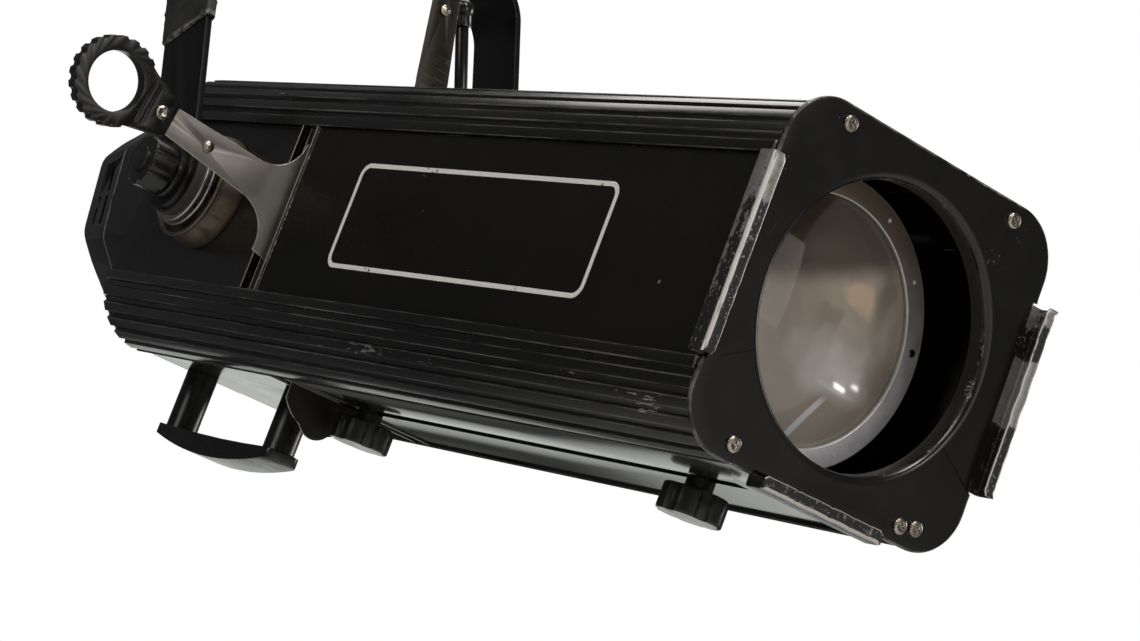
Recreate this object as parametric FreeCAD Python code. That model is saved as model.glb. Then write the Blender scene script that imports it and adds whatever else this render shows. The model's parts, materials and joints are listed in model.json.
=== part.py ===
# Ellipsoidal stage spotlight with a flat-bar hanging yoke.
# Row frame: millimetres, +Z up, front of the luminaire towards -Y, origin at the
# yoke's clamp-bolt hole on the top face of its cross bar.
# The housing is drawn in its own body frame (x across, y along the optical axis
# towards the rear, z up, origin at the centre of the front plate's face) and then
# tilted nose-down about the tilt axis into the row frame.
import FreeCAD, Part
import math
import os

V = FreeCAD.Vector
os.makedirs("parts", exist_ok=True)

# ---------------------------------------------------------------- driving sizes
TILT = 29.5            # nose-down tilt of the housing at rest, degrees
PIVOT_Y, PIVOT_Z = 580.0, 5.0   # tilt axis in the body frame
DROP = 310.0           # tilt axis to the underside of the yoke's cross bar
YOKE_T, YOKE_W = 4.8, 50.0      # flat bar thickness and width
YOKE_IN = 138.0        # half the clear width between the arms
YOKE_BEND = 42.0       # inner bend radius
CLAMP_R = 6.5          # hole for the hook clamp's bolt
HX, HZ = 106.0, 101.0  # outer planes of the side and the top/bottom panels
RIB = 2.5              # how far the ribbed corners stand proud of the panels
CR = 45.0              # outer radius of a ribbed corner
BODY_LEN = 682.0       # front plate face to the rear end of the corner rails
SLOT_Y0, SLOT_Y1 = 476.0, 493.0  # shutter slot
PLATE_T = 3.0
OPEN_R = 81.5          # front opening
PANEL_T = 2.0
CAP_E1, CAP_E2 = 729.0, 788.0   # start and end of the lamp cap's tapered band, on the axis
CAP_LEAN = 0.27        # the band and the rear face lean back towards the top
BLADE_T = 1.2
RING_U, RING_R, RING_HOLE = 252.5, 29.2, 19.5   # shutter ring handle
SHUTTER_Y = {"top": 481.4, "left": 484.4, "right": 487.4, "bottom": 490.4}

CX, CZ = HX + RIB - CR, HZ + RIB - CR   # centres of the corner curves

ROT = FreeCAD.Rotation(V(1, 0, 0), TILT)
PL = FreeCAD.Placement(V(0, 0, -(DROP + YOKE_T)), ROT).multiply(
    FreeCAD.Placement(V(0, -PIVOT_Y, -PIVOT_Z), FreeCAD.Rotation()))


def save(name, shape, tilt=True):
    s = shape.copy()
    if tilt:
        s = s.transformed(PL.toMatrix(), True)
    sol = s.Solids
    out = sol[0] if len(sol) == 1 else Part.makeCompound(sol)
    if not out.isValid():
        print("INVALID", name)
    out.exportStep("parts/%s.step" % name)
    print("%-26s solids %d  volume %.0f" % (name, len(sol), out.Volume))


def box(x0, x1, y0, y1, z0, z1):
    return Part.makeBox(x1 - x0, y1 - y0, z1 - z0, V(x0, y0, z0))


def cyl(r, p0, p1):
    a, b = V(*p0), V(*p1)
    d = b.sub(a)
    return Part.makeCylinder(r, d.Length, a, d)


def ring(r0, r1, y0, y1, cx=0.0, cz=0.0):
    return cyl(r1, (cx, y0, cz), (cx, y1, cz)).cut(cyl(r0, (cx, y0 - 1, cz), (cx, y1 + 1, cz)))


def poly_xz(pts, y0, y1):
    w = Part.makePolygon([V(p[0], y0, p[1]) for p in pts] + [V(pts[0][0], y0, pts[0][1])])
    return Part.Face(w).extrude(V(0, y1 - y0, 0))


def revolve_y(pts):
    """pts are (radius, y), turned about the optical axis."""
    w = Part.makePolygon([V(p[0], p[1], 0) for p in pts] + [V(pts[0][0], pts[0][1], 0)])
    return Part.Face(w).revolve(V(0, 0, 0), V(0, 1, 0), 360)


def fuse(shapes):
    s = shapes[0]
    for t in shapes[1:]:
        s = s.fuse(t)
    return s.removeSplitter()


def rounded_rect(hx, hz, r, y0, y1, cx=0.0, cz=0.0):
    b = box(cx - hx, cx + hx, y0, y1, cz - hz, cz + hz)
    es = [e for e in b.Edges if abs(e.Vertexes[0].Point.y - e.Vertexes[-1].Point.y) > 1e-6]
    return b.makeFillet(r, es)


def mir_x(s):
    return s.mirror(V(0, 0, 0), V(1, 0, 0))


def mir_z(s):
    return s.mirror(V(0, 0, 0), V(0, 0, 1))


# ---------------------------------------------------------------- yoke (row frame)
PZ = -(DROP + YOKE_T)          # tilt axis height in the row frame


def yoke():
    o = YOKE_IN + YOKE_T
    ro, ri = YOKE_BEND + YOKE_T, YOKE_BEND
    top, low = 0.0, PZ
    zc = -YOKE_T - ri
    def arc(c, r, a0, a1):
        return Part.Arc(*[V(c[0] + r * math.cos(math.radians(a)), 0, c[1] + r * math.sin(math.radians(a)))
                          for a in (a0, (a0 + a1) / 2.0, a1)]).toShape()
    def ln(a, b):
        return Part.LineSegment(V(a[0], 0, a[1]), V(b[0], 0, b[1])).toShape()
    xc = YOKE_IN - ri
    e = [ln((-o, low), (-o, zc)), arc((-xc, zc), ro, 180, 90), ln((-xc, top), (xc, top)),
         arc((xc, zc), ro, 90, 0), ln((o, zc), (o, low)), ln((o, low), (YOKE_IN, low)),
         ln((YOKE_IN, low), (YOKE_IN, zc)), arc((xc, zc), ri, 0, 90), ln((xc, -YOKE_T), (-xc, -YOKE_T)),
         arc((-xc, zc), ri, 90, 180), ln((-YOKE_IN, zc), (-YOKE_IN, low)), ln((-YOKE_IN, low), (-o, low))]
    face = Part.Face(Part.Wire(e))
    s = face.extrude(V(0, YOKE_W, 0))
    s.translate(V(0, -YOKE_W / 2, 0))
    for sx in (-1, 1):
        s = s.fuse(cyl(YOKE_W / 2, (sx * YOKE_IN, 0, low), (sx * o, 0, low)))
    s = s.removeSplitter()
    s = s.cut(cyl(CLAMP_R, (0, 0, -20), (0, 0, 20)))
    for sx in (-1, 1):
        s = s.cut(cyl(6.3, (sx * (YOKE_IN - 5), 0, low), (sx * (o + 5), 0, low)))
    return s


yk = yoke()
ZB = -YOKE_T - YOKE_BEND           # height where the bends meet the arms
XB = YOKE_IN - YOKE_BEND
save("yoke_crossbar", yk.common(box(-XB, XB, -60, 60, -60, 10)), tilt=False)
save("yoke_arm_right", yk.common(box(XB, 250, -60, 60, -400, 10)), tilt=False)
save("yoke_arm_left", yk.common(box(-250, -XB, -60, 60, -400, 10)), tilt=False)
sl0, sl1 = PZ + 121.0, PZ + 250.0
sleeve = Part.makeBox(YOKE_T + 6.0, YOKE_W + 7.0, sl1 - sl0, V(-(YOKE_IN + YOKE_T) - 3.0, -(YOKE_W + 7.0) / 2, sl0))
sleeve = sleeve.makeFillet(2.4, [e for e in sleeve.Edges if abs(e.Vertexes[0].Point.z - e.Vertexes[-1].Point.z) > 1])
sleeve = sleeve.cut(Part.makeBox(YOKE_T, YOKE_W, 400, V(-(YOKE_IN + YOKE_T), -YOKE_W / 2, PZ)))
save("yoke_sleeve", sleeve, tilt=False)

# ---------------------------------------------------------------- front plate
LR = 33.0
PHX, PHZ = HX, HZ + RIB


def front_plate():
    core = [rounded_rect(PHX, PHZ, LR, 0, PLATE_T)]
    s = core[0]
    # shallow steps where the lobes end and the channels begin
    for sx in (-1, 1):
        s = s.cut(box(min(sx * (PHX - 2.5), sx * (PHX + 5)), max(sx * (PHX - 2.5), sx * (PHX + 5)), -1, 4, -59, 59))
    s = s.cut(box(-48, 48, -1, 4, -PHZ - 5, -PHZ + 2.5))
    s = s.cut(cyl(OPEN_R + 0.5, (0, -1, 0), (0, 4, 0)))
    # rolled hem of the opening
    hem = revolve_y([(OPEN_R, 1.6), (OPEN_R + 0.45, 0.55), (OPEN_R + 1.6, 0.0), (OPEN_R + 3.0, 0.0), (OPEN_R + 3.0, 3.0),
                     (OPEN_R + 2.0, 4.2), (OPEN_R + 2.0, 14.0), (OPEN_R, 14.0)])
    s = s.fuse(hem).removeSplitter()
    for x, z in SCREWS:
        s = s.cut(cyl(2.2, (x, -1, z), (x, 4, z)))
    return s


SCREWS = [(-67, 93), (67, 93), (-67, -93), (63, -93), (74.5, -90.5)]
save("front_plate", front_plate())

ch = box(HX - 9, HX + 9, PLATE_T, PLATE_T + 1.5, -57, 57)
ch = ch.fuse(box(HX + 7.5, HX + 9, -10, PLATE_T + 1.5, -57, 57)).fuse(box(HX, HX + 9, -10, -8.5, -57, 57)).removeSplitter()
save("colour_channel_right", ch)
save("colour_channel_left", mir_x(ch))
chb = box(-46, 46, PLATE_T, PLATE_T + 1.5, -HZ - 8.5, -HZ + 9)
chb = chb.fuse(box(-46, 46, -10, PLATE_T + 1.5, -HZ - 8.5, -HZ - 7)).fuse(box(-46, 46, -10, -8.5, -HZ - 8.5, -HZ + 0.5)).removeSplitter()
save("colour_channel_bottom", chb)

scr = []
for x, z in SCREWS:
    head = cyl(4.8, (x, -2.4, z), (x, 0, z))
    head = head.makeFillet(1.5, [e for e in head.Edges if abs(e.BoundBox.YMax + 2.4) < 1e-3 and e.BoundBox.YLength < 1e-3])
    h = head.fuse(cyl(1.95, (x, 0, z), (x, 13, z))).removeSplitter()
    for a in (box(x - 2.3, x + 2.3, -3, -1.1, z - 0.5, z + 0.5), box(x - 0.5, x + 0.5, -3, -1.1, z - 2.3, z + 2.3)):
        h = h.cut(a)
    scr.append(h)
save("front_plate_screws", Part.makeCompound(scr))

# ---------------------------------------------------------------- corner rails
NR = 6
RAIL_Y0 = PLATE_T


def rail_profile():
    """Outer edge of the top right corner: ridges and grooves round a quarter circle."""
    pts = []
    step = 90.0 / NR
    for i in range(NR):
        a0 = i * step
        for da, r in ((0.0, CR), (0.56 * step, CR), (0.66 * step, CR - 2.2), (0.92 * step, CR - 2.2)):
            a = math.radians(a0 + da)
            pts.append((CX + r * math.cos(a), CZ + r * math.sin(a)))
    pts.append((CX, CZ + CR))
    return pts


def rail(boss):
    out = rail_profile()
    flx = HX - PANEL_T           # outer face of the flange behind the side panel
    flz = HZ - PANEL_T
    inner = []
    for i in range(0, 13):
        a = math.radians(90 - i * 7.5)
        inner.append((CX + (CR - 5.5) * math.cos(a), CZ + (CR - 5.5) * math.sin(a)))
    pts = list(out)
    # flange behind the top panel
    pts += [(CX, flz), (CX - 10, flz), (CX - 10, flz - 2), (CX, flz - 2)]
    pts += inner[1:-1]
    pts += [(flx - 2, CZ), (flx - 2, CZ - 10), (flx, CZ - 10), (flx, CZ)]
    s = poly_xz(pts, RAIL_Y0, BODY_LEN)
    s = s.fuse(cyl(4.6, (boss[0], RAIL_Y0, boss[1]), (boss[0], BODY_LEN - 22, boss[1]))).removeSplitter()
    s = s.cut(cyl(2.05, (boss[0], RAIL_Y0 - 1, boss[1]), (boss[0], RAIL_Y0 + 20, boss[1])))
    # flanges are notched at the shutter slot
    s = s.cut(box(CX - 11, CX - 0.4, SLOT_Y0 - 1.5, SLOT_Y1 + 1.5, HZ - 6, HZ + 1))
    s = s.cut(box(HX - 6, HX + 1, SLOT_Y0 - 1.5, SLOT_Y1 + 1.5, CZ - 11, CZ - 0.4))
    # and end short of the front plate's channels
    s = s.cut(box(HX - 12, HX + 1, 0, 5.0, CZ - 11, CZ - 0.4))
    s = s.cut(box(CX - 11, CX - 0.4, 0, 5.0, HZ - 12, HZ + 1))
    return s


r_std = rail((67, 93))
save("corner_rail_top_right", r_std)
save("corner_rail_top_left", mir_x(r_std))
save("corner_rail_bottom_left", mir_z(mir_x(r_std)))
save("corner_rail_bottom_right", mir_z(rail((63, 93))))

# ---------------------------------------------------------------- panels
FP0 = 5.0
PE = 0.3              # gap between a panel's edge and the corner's ridge


def side_panel(y0, y1, lip_at):
    s = box(HX - PANEL_T, HX, y0, y1, -CZ + PE, CZ - PE)
    ly = (y1 - 1.8, y1) if lip_at == "rear" else (y0, y0 + 1.8)
    return s.fuse(box(HX - PANEL_T, HX + 2.2, ly[0], ly[1], -CZ + PE, CZ - PE)).removeSplitter()


def flat_panel(y0, y1, lip_at):
    s = box(-CX + PE, CX - PE, y0, y1, HZ - PANEL_T, HZ)
    ly = (y1 - 1.8, y1) if lip_at == "rear" else (y0, y0 + 1.8)
    return s.fuse(box(-CX + PE, CX - PE, ly[0], ly[1], HZ - PANEL_T, HZ + 2.2)).removeSplitter()


spf = side_panel(FP0, SLOT_Y0, "rear")
save("side_panel_front_right", spf)
save("side_panel_front_left", mir_x(spf))
spr = side_panel(SLOT_Y1, BODY_LEN, "front").cut(cyl(8.0, (90, PIVOT_Y, PIVOT_Z), (120, PIVOT_Y, PIVOT_Z)))
save("side_panel_rear_right", spr)
save("side_panel_rear_left", mir_x(spr))
FOCUS_SLOT = (64.0, 468.0)
save("top_panel_front", flat_panel(FP0, SLOT_Y0, "rear"))
bpf = mir_z(flat_panel(FP0, SLOT_Y0, "rear"))
bpf = bpf.cut(box(-5.5, 5.5, FOCUS_SLOT[0], FOCUS_SLOT[1], -HZ - 5, -HZ + 5))
save("bottom_panel_front", bpf)
IRIS_Y = 512.0
tpr = flat_panel(SLOT_Y1, BODY_LEN, "front")
tpr = tpr.cut(box(-12, 49, IRIS_Y - 12, IRIS_Y + 11, HZ - 5, HZ + 1))
save("top_panel_rear", tpr)
HANDLE_X = -13.0
HANDLE_Y = (531.5, 670.0)
bpr = mir_z(flat_panel(SLOT_Y1, BODY_LEN, "front"))
for y in HANDLE_Y:
    bpr = bpr.cut(cyl(3.2, (HANDLE_X, y, -HZ - 5), (HANDLE_X, y, -HZ + 5)))
save("bottom_panel_rear", bpr)

# label border on the left front panel: an empty rounded frame
lb_o = box(-HX - 0.4, -HX, 125, 403, -36, 35.5)
lb_o = lb_o.makeFillet(9.0, [e for e in lb_o.Edges if e.BoundBox.XLength > 0.1])
lb_i = box(-HX - 1, -HX + 1, 128, 400, -33, 32.5)
lb_i = lb_i.makeFillet(6.5, [e for e in lb_i.Edges if e.BoundBox.XLength > 0.1])
save("label_border", lb_o.cut(lb_i))

# ---------------------------------------------------------------- gate
GX, GZ, GC = HX - 4.6, HZ - 4.6, 40.0
gx, gz = GX - 0.2, GZ - 0.2


def gate_plate(y0, y1, hole):
    s = rounded_rect(gx, gz, GC, y0, y1)
    for x, z in SCREWS[:4]:
        s = s.cut(cyl(5.2, (x, y0 - 1, z), (x, y1 + 1, z)))
        s = s.cut(box(x - 5.2, x + 5.2, y0 - 1, y1 + 1, min(z, z * 1.2), max(z, z * 1.2)))
    return s.cut(cyl(hole, (0, y0 - 1, 0), (0, y1 + 1, 0)))


G0, G1 = 478.0, 493.6
POSTS = [(78, 74), (-78, 74), (78, -74), (-78, -74)]
save("gate_plate_front", fuse([gate_plate(G0, G0 + 1.6, 52)] + [cyl(4, (x, G0 + 1.0, z), (x, G1, z)) for x, z in POSTS]))
save("gate_plate_rear", gate_plate(G1, G1 + 1.6, 40))

# ---------------------------------------------------------------- reflector
def ellipse_pts(n, off):
    a, b, yc = 104.0 + off, 84.0 + off, 566.0
    pts = []
    y_open, r_v = 521.0, 19.0
    t0 = math.acos((y_open - yc) / a)
    t1 = math.asin(r_v / b)
    for i in range(n + 1):
        t = t0 + (t1 - t0) * i / n
        pts.append((b * math.sin(t), yc + a * math.cos(t)))
    return pts


rin = ellipse_pts(22, 0.0)
rout = ellipse_pts(22, 1.8)
ref = revolve_y(rin + rout[::-1])
ref = ref.fuse(ring(rout[0][0] - 1.2, 94.0, 520.0, 522.0)).removeSplitter()
save("reflector", ref)

# ---------------------------------------------------------------- tilt pivot, both sides
def boss():
    x0, x1 = HX, HX + 18
    p = [(0, x0), (40.5, x0), (40.5, x0 + 3), (37.6, x0 + 16.6), (38.6, x0 + 17), (38.6, x0 + 19), (36.2, x0 + 19), (34.6, x0 + 12), (0, x0 + 12)]
    w = Part.makePolygon([V(q[1], PIVOT_Y + q[0], PIVOT_Z) for q in p] + [V(p[0][1], PIVOT_Y, PIVOT_Z)])
    s = Part.Face(w).revolve(V(0, PIVOT_Y, PIVOT_Z), V(1, 0, 0), 360)
    return s.cut(cyl(6.2, (x0 - 1, PIVOT_Y, PIVOT_Z), (x1 + 2, PIVOT_Y, PIVOT_Z)))


def xring(r0, r1, x0, x1):
    return cyl(r1, (x0, PIVOT_Y, PIVOT_Z), (x1, PIVOT_Y, PIVOT_Z)).cut(
        cyl(r0, (x0 - 1, PIVOT_Y, PIVOT_Z), (x1 + 1, PIVOT_Y, PIVOT_Z)))


b = boss()
save("tilt_bosses", Part.makeCompound([b, mir_x(b)]))
d = fuse([xring(6.2, 20.0, HX + 12, HX + 20), xring(6.2, 32.0, HX + 20, HX + 22), xring(6.2, 20.0, HX + 22, HX + 24.5), xring(6.2, 31.0, HX + 24.5, HX + 26.5)])
d2 = xring(6.2, 27.0, HX + 26.5, YOKE_IN - 0.3)
save("friction_washers", Part.makeCompound([d, mir_x(d), d2, mir_x(d2)]))
STUD_END = YOKE_IN + YOKE_T + 20
st = cyl(6.0, (HX - PANEL_T - 4, PIVOT_Y, PIVOT_Z), (STUD_END, PIVOT_Y, PIVOT_Z))
st = st.fuse(cyl(11.0, (HX - PANEL_T - 8, PIVOT_Y, PIVOT_Z), (HX - PANEL_T - 4, PIVOT_Y, PIVOT_Z)))
st = st.fuse(cyl(9.0, (HX - PANEL_T - 4, PIVOT_Y, PIVOT_Z), (HX - PANEL_T, PIVOT_Y, PIVOT_Z))).removeSplitter()
save("tilt_studs", Part.makeCompound([st, mir_x(st)]))


def tilt_knob():
    x0 = YOKE_IN + YOKE_T + 0.4
    c = lambda r, a, b_: cyl(r, (a, PIVOT_Y, PIVOT_Z), (b_, PIVOT_Y, PIVOT_Z))
    body = c(18.0, x0 + 4, x0 + 23)
    body = body.makeFillet(2.0, [e for e in body.Edges if e.BoundBox.XLength < 1e-3])
    for i in range(8):
        a = math.radians(45 * i + 22.5)
        yy, zz = PIVOT_Y + 20.4 * math.cos(a), PIVOT_Z + 20.4 * math.sin(a)
        body = body.cut(cyl(4.0, (x0 + 2, yy, zz), (x0 + 40, yy, zz)))
    s = body.fuse(c(19.5, x0, x0 + 4)).fuse(c(9, x0 + 23, x0 + 25)).removeSplitter()
    return s.cut(c(6.06, x0 - 1, STUD_END + 0.5))


tk = tilt_knob()
save("tilt_knob_right", tk)
save("tilt_knob_left", mir_x(tk))

# ---------------------------------------------------------------- rear carrying handle
hb = []
for y in HANDLE_Y:
    hb.append(cyl(11.4, (HANDLE_X, y, -HZ), (HANDLE_X, y, -147)))
NB = 14
y0h, y1h = 520.0, 684.0
low, up = [], []
for i in range(NB + 1):
    t = i / NB
    y = y0h + (y1h - y0h) * t
    sag = 4 * t * (1 - t)
    up.append(V(0, y, -143.5 - 2.0 * sag))
    low.append(V(0, y, -150.0 - 10.0 * sag))
e1 = Part.BSplineCurve(); e1.interpolate(up)
e2 = Part.BSplineCurve(); e2.interpolate(low)
w = Part.Wire([e1.toShape(), Part.LineSegment(up[-1], low[-1]).toShape(),
               e2.toShape(), Part.LineSegment(low[0], up[0]).toShape()])
bar = Part.Face(w).extrude(V(28, 0, 0))
bar.translate(V(HANDLE_X - 14, 0, 0))
# rounded ends in plan
plan = box(HANDLE_X - 14, HANDLE_X + 14, y0h, y1h, -170, -140)
plan = plan.makeFillet(8.0, [e for e in plan.Edges if e.BoundBox.ZLength > 20])
bar = bar.common(plan)
h = fuse([bar] + hb)
for y in HANDLE_Y:
    h = h.cut(cyl(2.9, (HANDLE_X, y, -HZ + 1), (HANDLE_X, y, -HZ - 22)))
save("rear_handle", h)
hs = []
for y in HANDLE_Y:
    hs.append(cyl(5.2, (HANDLE_X, y, -HZ + PANEL_T + 3.5), (HANDLE_X, y, -HZ + PANEL_T)).fuse(
        cyl(2.85, (HANDLE_X, y, -HZ + PANEL_T), (HANDLE_X, y, -HZ - 20))).removeSplitter())
save("handle_bolts", Part.makeCompound(hs))

# ---------------------------------------------------------------- shutters
def local(U, O):
    """Matrix from the shutter's own (u, v, w) frame to the body frame; w faces front."""
    U = V(*U)
    W = V(0, -1, 0)
    Vv = W.cross(U)
    m = FreeCAD.Matrix(U.x, Vv.x, W.x, O[0], U.y, Vv.y, W.y, O[1], U.z, Vv.z, W.z, O[2], 0, 0, 0, 1)
    return m


RIV_U, SCR_U, GRIP_U = 173.0, 215.0, 205.5   # rivet, handle screw, start of the handle's boss


def blade(kind):
    P = lambda u, v: V(u, v, -BLADE_T / 2)
    L = lambda a, b_: Part.LineSegment(P(*a), P(*b_)).toShape()
    A = lambda a, m_, b_: Part.Arc(P(*a), P(*m_), P(*b_)).toShape()
    if kind == "bottom":
        e = [L((44, -50), (84, -50)), L((84, -50), (92, -30)), L((92, -30), (112, -29)),
             A((112, -29), (121, -20), (125, -12)), A((125, -12), (131, 0), (125, 12)), A((125, 12), (121, 20), (112, 29)),
             L((112, 29), (92, 30)), L((92, 30), (84, 50)), L((84, 50), (44, 50)), L((44, 50), (44, -50))]
    else:
        # half the outline: shoulders, then the concave run into the strip
        if kind == "top":
            half = [(44, 44), (84, 44), (90, 34), (97, 31)], [(97, 31), (106, 17.5), (124, 12.6)], [(124, 12.6), (207, 9.6), (222, 8)]
        else:
            half = [(44, 50), (84, 50), (94, 42), (110, 40)], [(110, 40), (117, 21), (133, 13)], [(133, 13), (207, 9.6), (222, 8)]
        a_, b_, c_ = half
        e = [L(a_[0], a_[1]), L(a_[1], a_[2]), L(a_[2], a_[3]), A(*b_), L(c_[0], c_[1]), L(c_[1], c_[2])]
        n_ = lambda q: (q[0], -q[1])
        e += [L(c_[2], n_(c_[2])), L(n_(c_[2]), n_(c_[1])), L(n_(c_[1]), n_(c_[0])), A(n_(b_[2]), n_(b_[1]), n_(b_[0])),
              L(n_(a_[3]), n_(a_[2])), L(n_(a_[2]), n_(a_[1])), L(n_(a_[1]), n_(a_[0])), L(n_(a_[0]), a_[0])]
    s = Part.Face(Part.Wire(Part.sortEdges(e)[0])).extrude(V(0, 0, BLADE_T))
    if kind != "bottom":
        s = s.cut(Part.makeCylinder(2.05, 10, V(RIV_U, 0, -5))).cut(Part.makeCylinder(2.05, 10, V(SCR_U, 0, -5)))
    return s


def handle():
    t = 9.0
    ringp = Part.makeCylinder(RING_R, t, V(RING_U, 0, -t / 2))
    for i in range(18):
        a = math.radians(-150 + 300.0 * i / 17)
        ringp = ringp.cut(Part.makeCylinder(2.6, 2 * t, V(RING_U + (RING_R + 1.0) * math.cos(a), (RING_R + 1.0) * math.sin(a), -t)))
    bw = Part.Face(Part.makePolygon([V(GRIP_U, -12.5, -t / 2), V(229, -19, -t / 2), V(238, -23, -t / 2), V(238, 23, -t / 2),
                                     V(229, 19, -t / 2), V(GRIP_U, 12.5, -t / 2), V(GRIP_U, -12.5, -t / 2)])).extrude(V(0, 0, t))
    s = ringp.fuse(bw).removeSplitter()
    s = s.cut(Part.makeCylinder(RING_HOLE, 40, V(RING_U, 0, -20)))
    # slot for the blade's strip, and the screw's hole
    s = s.cut(Part.makeBox(24, 22, BLADE_T + 0.3, V(GRIP_U - 6, -11, -(BLADE_T + 0.3) / 2)))
    s = s.cut(Part.makeCylinder(1.95, 40, V(SCR_U, 0, -20)))
    # two moulded grooves between the boss and the ring, each side
    for w0 in (t / 2 - 1.4, -t / 2 - 1):
        for u in (222.6, 227.6):
            s = s.cut(Part.makeBox(1.8, 26, 2.4, V(u, -13, w0)))
    return s


def fasteners():
    riv = Part.makeCylinder(2.0, 5.2, V(RIV_U, 0, -2.6)).fuse(Part.makeCylinder(3.8, 1.4, V(RIV_U, 0, BLADE_T / 2))).fuse(
        Part.makeCylinder(3.4, 1.2, V(RIV_U, 0, -BLADE_T / 2 - 1.2))).removeSplitter()
    sc = Part.makeCylinder(1.85, 11.5, V(SCR_U, 0, -6)).fuse(Part.makeCylinder(4.6, 1.8, V(SCR_U, 0, 4.5))).fuse(
        Part.makeCylinder(3.6, 1.6, V(SCR_U, 0, -6.1))).removeSplitter()
    sc = sc.cut(Part.makeCylinder(1.9, 3, V(SCR_U, 0, 5.2)))
    return Part.makeCompound([riv, sc])


def deg(a):
    return math.radians(a)


SH = {
    "left": ((-math.cos(deg(7.5)), 0, math.sin(deg(7.5))), (-110.0, 6.4), 110.0),
    "right": ((math.cos(deg(6)), 0, -math.sin(deg(6))), (110.0, 4.0), 110.0),
    "top": ((-math.sin(deg(13)), 0, math.cos(deg(13))), (-30.5, 101.0), 101.0),
    "bottom": ((0.0, 0, -1.0), (-18.0, -101.0), 101.0),
}
for name, (U, at, u0) in SH.items():
    y = SHUTTER_Y[name]
    O = (at[0] - U[0] * u0, y, at[1] - U[2] * u0)
    m = local(U, O)
    save("shutter_%s_blade" % name, blade(name).transformed(m, True))
    if name != "bottom":
        save("shutter_%s_handle" % name, handle().transformed(m, True))
        save("shutter_%s_rivets" % name, fasteners().transformed(m, True))
    ax = ROT.multVec(V(-U[0], 0, -U[2]))
    print("  slide axis", name, [round(c, 6) for c in ax])

# ---------------------------------------------------------------- lens carriages
TUBE_R = 86.0


def lens(apex, redge, sag, edge_t):
    rs = (redge ** 2 + sag ** 2) / (2 * sag)
    sph = Part.makeSphere(rs, V(0, apex + rs, 0))
    c = cyl(redge, (0, apex - 1, 0), (0, apex + sag + edge_t, 0))
    return c.common(sph)


# front: the convex face looks out through the retaining ring
F_APEX, F_SAG = 48.8, 14.0
save("front_lens", lens(F_APEX, 80.0, F_SAG, 4.0))
save("front_lens_ring", revolve_y([(72.5, 57.6), (73.2, 57.0), (85.4, 57.0), (86.0, 57.6), (86.0, 60.0), (72.5, 60.0)]))
tube = revolve_y([(80.4, 60), (TUBE_R, 60), (TUBE_R, 118), (83, 118), (83, 70), (76, 70), (76, 66.9), (80.4, 66.9)])
FK_Y, RK_Y = 100.0, 459.0
foot = box(-20, 20, 66, 118, -HZ + PANEL_T + 0.4, -78).cut(cyl(TUBE_R - 1, (0, 60, 0), (0, 120, 0)))
tube = tube.fuse(foot).fuse(cyl(4.0, (0, FK_Y, -90), (0, FK_Y, -120.5))).removeSplitter()
save("front_lens_carriage", tube)


def focus_knob(y):
    z0 = -HZ - 1.6
    c = lambda r, a, b_: cyl(r, (0, y, a), (0, y, b_))
    body = c(20, z0 - 6.5, z0 - 23)
    body = body.makeFillet(1.5, [e for e in body.Edges if e.BoundBox.ZLength < 1e-3])
    for i in range(6):
        a = math.radians(60 * i + 12)
        body = body.cut(c(5.5, z0, z0 - 40).translated(V(22.6 * math.cos(a), 22.6 * math.sin(a), 0)))
    s = body.fuse(c(8.5, z0 + 1.2, z0 - 6.5)).removeSplitter()
    return s.cut(c(4.06, z0 + 3, -121.0))


save("front_focus_knob", focus_knob(FK_Y))

# rear: plano-convex pair of the front lens, belly towards the front
R_Y = 334.0
save("rear_lens", lens(R_Y + 4.0, 78.0, 16.0, 3.0))
rt = revolve_y([(72, R_Y), (TUBE_R, R_Y), (TUBE_R, R_Y + 66), (82, R_Y + 66), (82, R_Y + 27), (78.4, R_Y + 27), (78.4, R_Y + 17.0), (72, R_Y + 14)])
rfoot = box(-20, 20, R_Y + 6, 473, -HZ + PANEL_T + 0.4, -78).cut(cyl(TUBE_R - 1, (0, R_Y - 5, 0), (0, R_Y + 66.0, 0)))
rfoot = rfoot.cut(box(-25, 25, R_Y + 70, 500, -90, -70))
rt = rt.fuse(rfoot).fuse(cyl(4.0, (0, RK_Y, -92), (0, RK_Y, -120.5))).removeSplitter()
save("rear_lens_carriage", rt)
save("rear_lens_ring", ring(70.0, 78.3, R_Y + 23.1, R_Y + 26.5))
save("rear_focus_knob", focus_knob(RK_Y))

# ---------------------------------------------------------------- iris ring and its lever
iy = 500.0
iris = ring(44.0, 84.0, iy, iy + 3.0)
IRIS_A = 11.5          # the lever's tab stands this far round from the top, degrees
arm_ = box(-6, 6, iy, iy + 3.0, 82, 98).fuse(box(-6, 6, iy, IRIS_Y, 94, 98))
arm_.rotate(V(0, 0, 0), V(0, 1, 0), IRIS_A)
save("iris_ring", iris.fuse(arm_).removeSplitter())
ra = math.radians(IRIS_A)
d0, d1 = V(97.6 * math.sin(ra), 506.0, 97.6 * math.cos(ra)), V(-7.4, 518, 177)
u_ = d1.sub(d0).normalize()
lev = Part.makeCylinder(4.6, d1.sub(d0).Length + 6, d0.sub(V(u_.x * 6, u_.y * 6, u_.z * 6)), u_)
under = box(-40, 40, 480, 530, 40, 98)
under.rotate(V(0, 0, 0), V(0, 1, 0), IRIS_A)
lev = lev.cut(under)
save("iris_lever", lev)
p0 = d1
kn = Part.makeCylinder(6.6, 10.0, p0, u_).fuse(Part.makeSphere(8.0, p0.add(V(u_.x * 12, u_.y * 12, u_.z * 12)))).removeSplitter()
save("iris_knob", kn)

# ---------------------------------------------------------------- lamp cap
CAP_Y0 = BODY_LEN + 0.4
cq = [(104.0, 34.0), (88.0, 56.0), (64.0, 82.0), (44.0, 99.0)]
CAP_OUT = cq + [(-x, z) for x, z in reversed(cq)] + [(-x, -z) for x, z in cq] + [(x, -z) for x, z in reversed(cq)]


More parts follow.
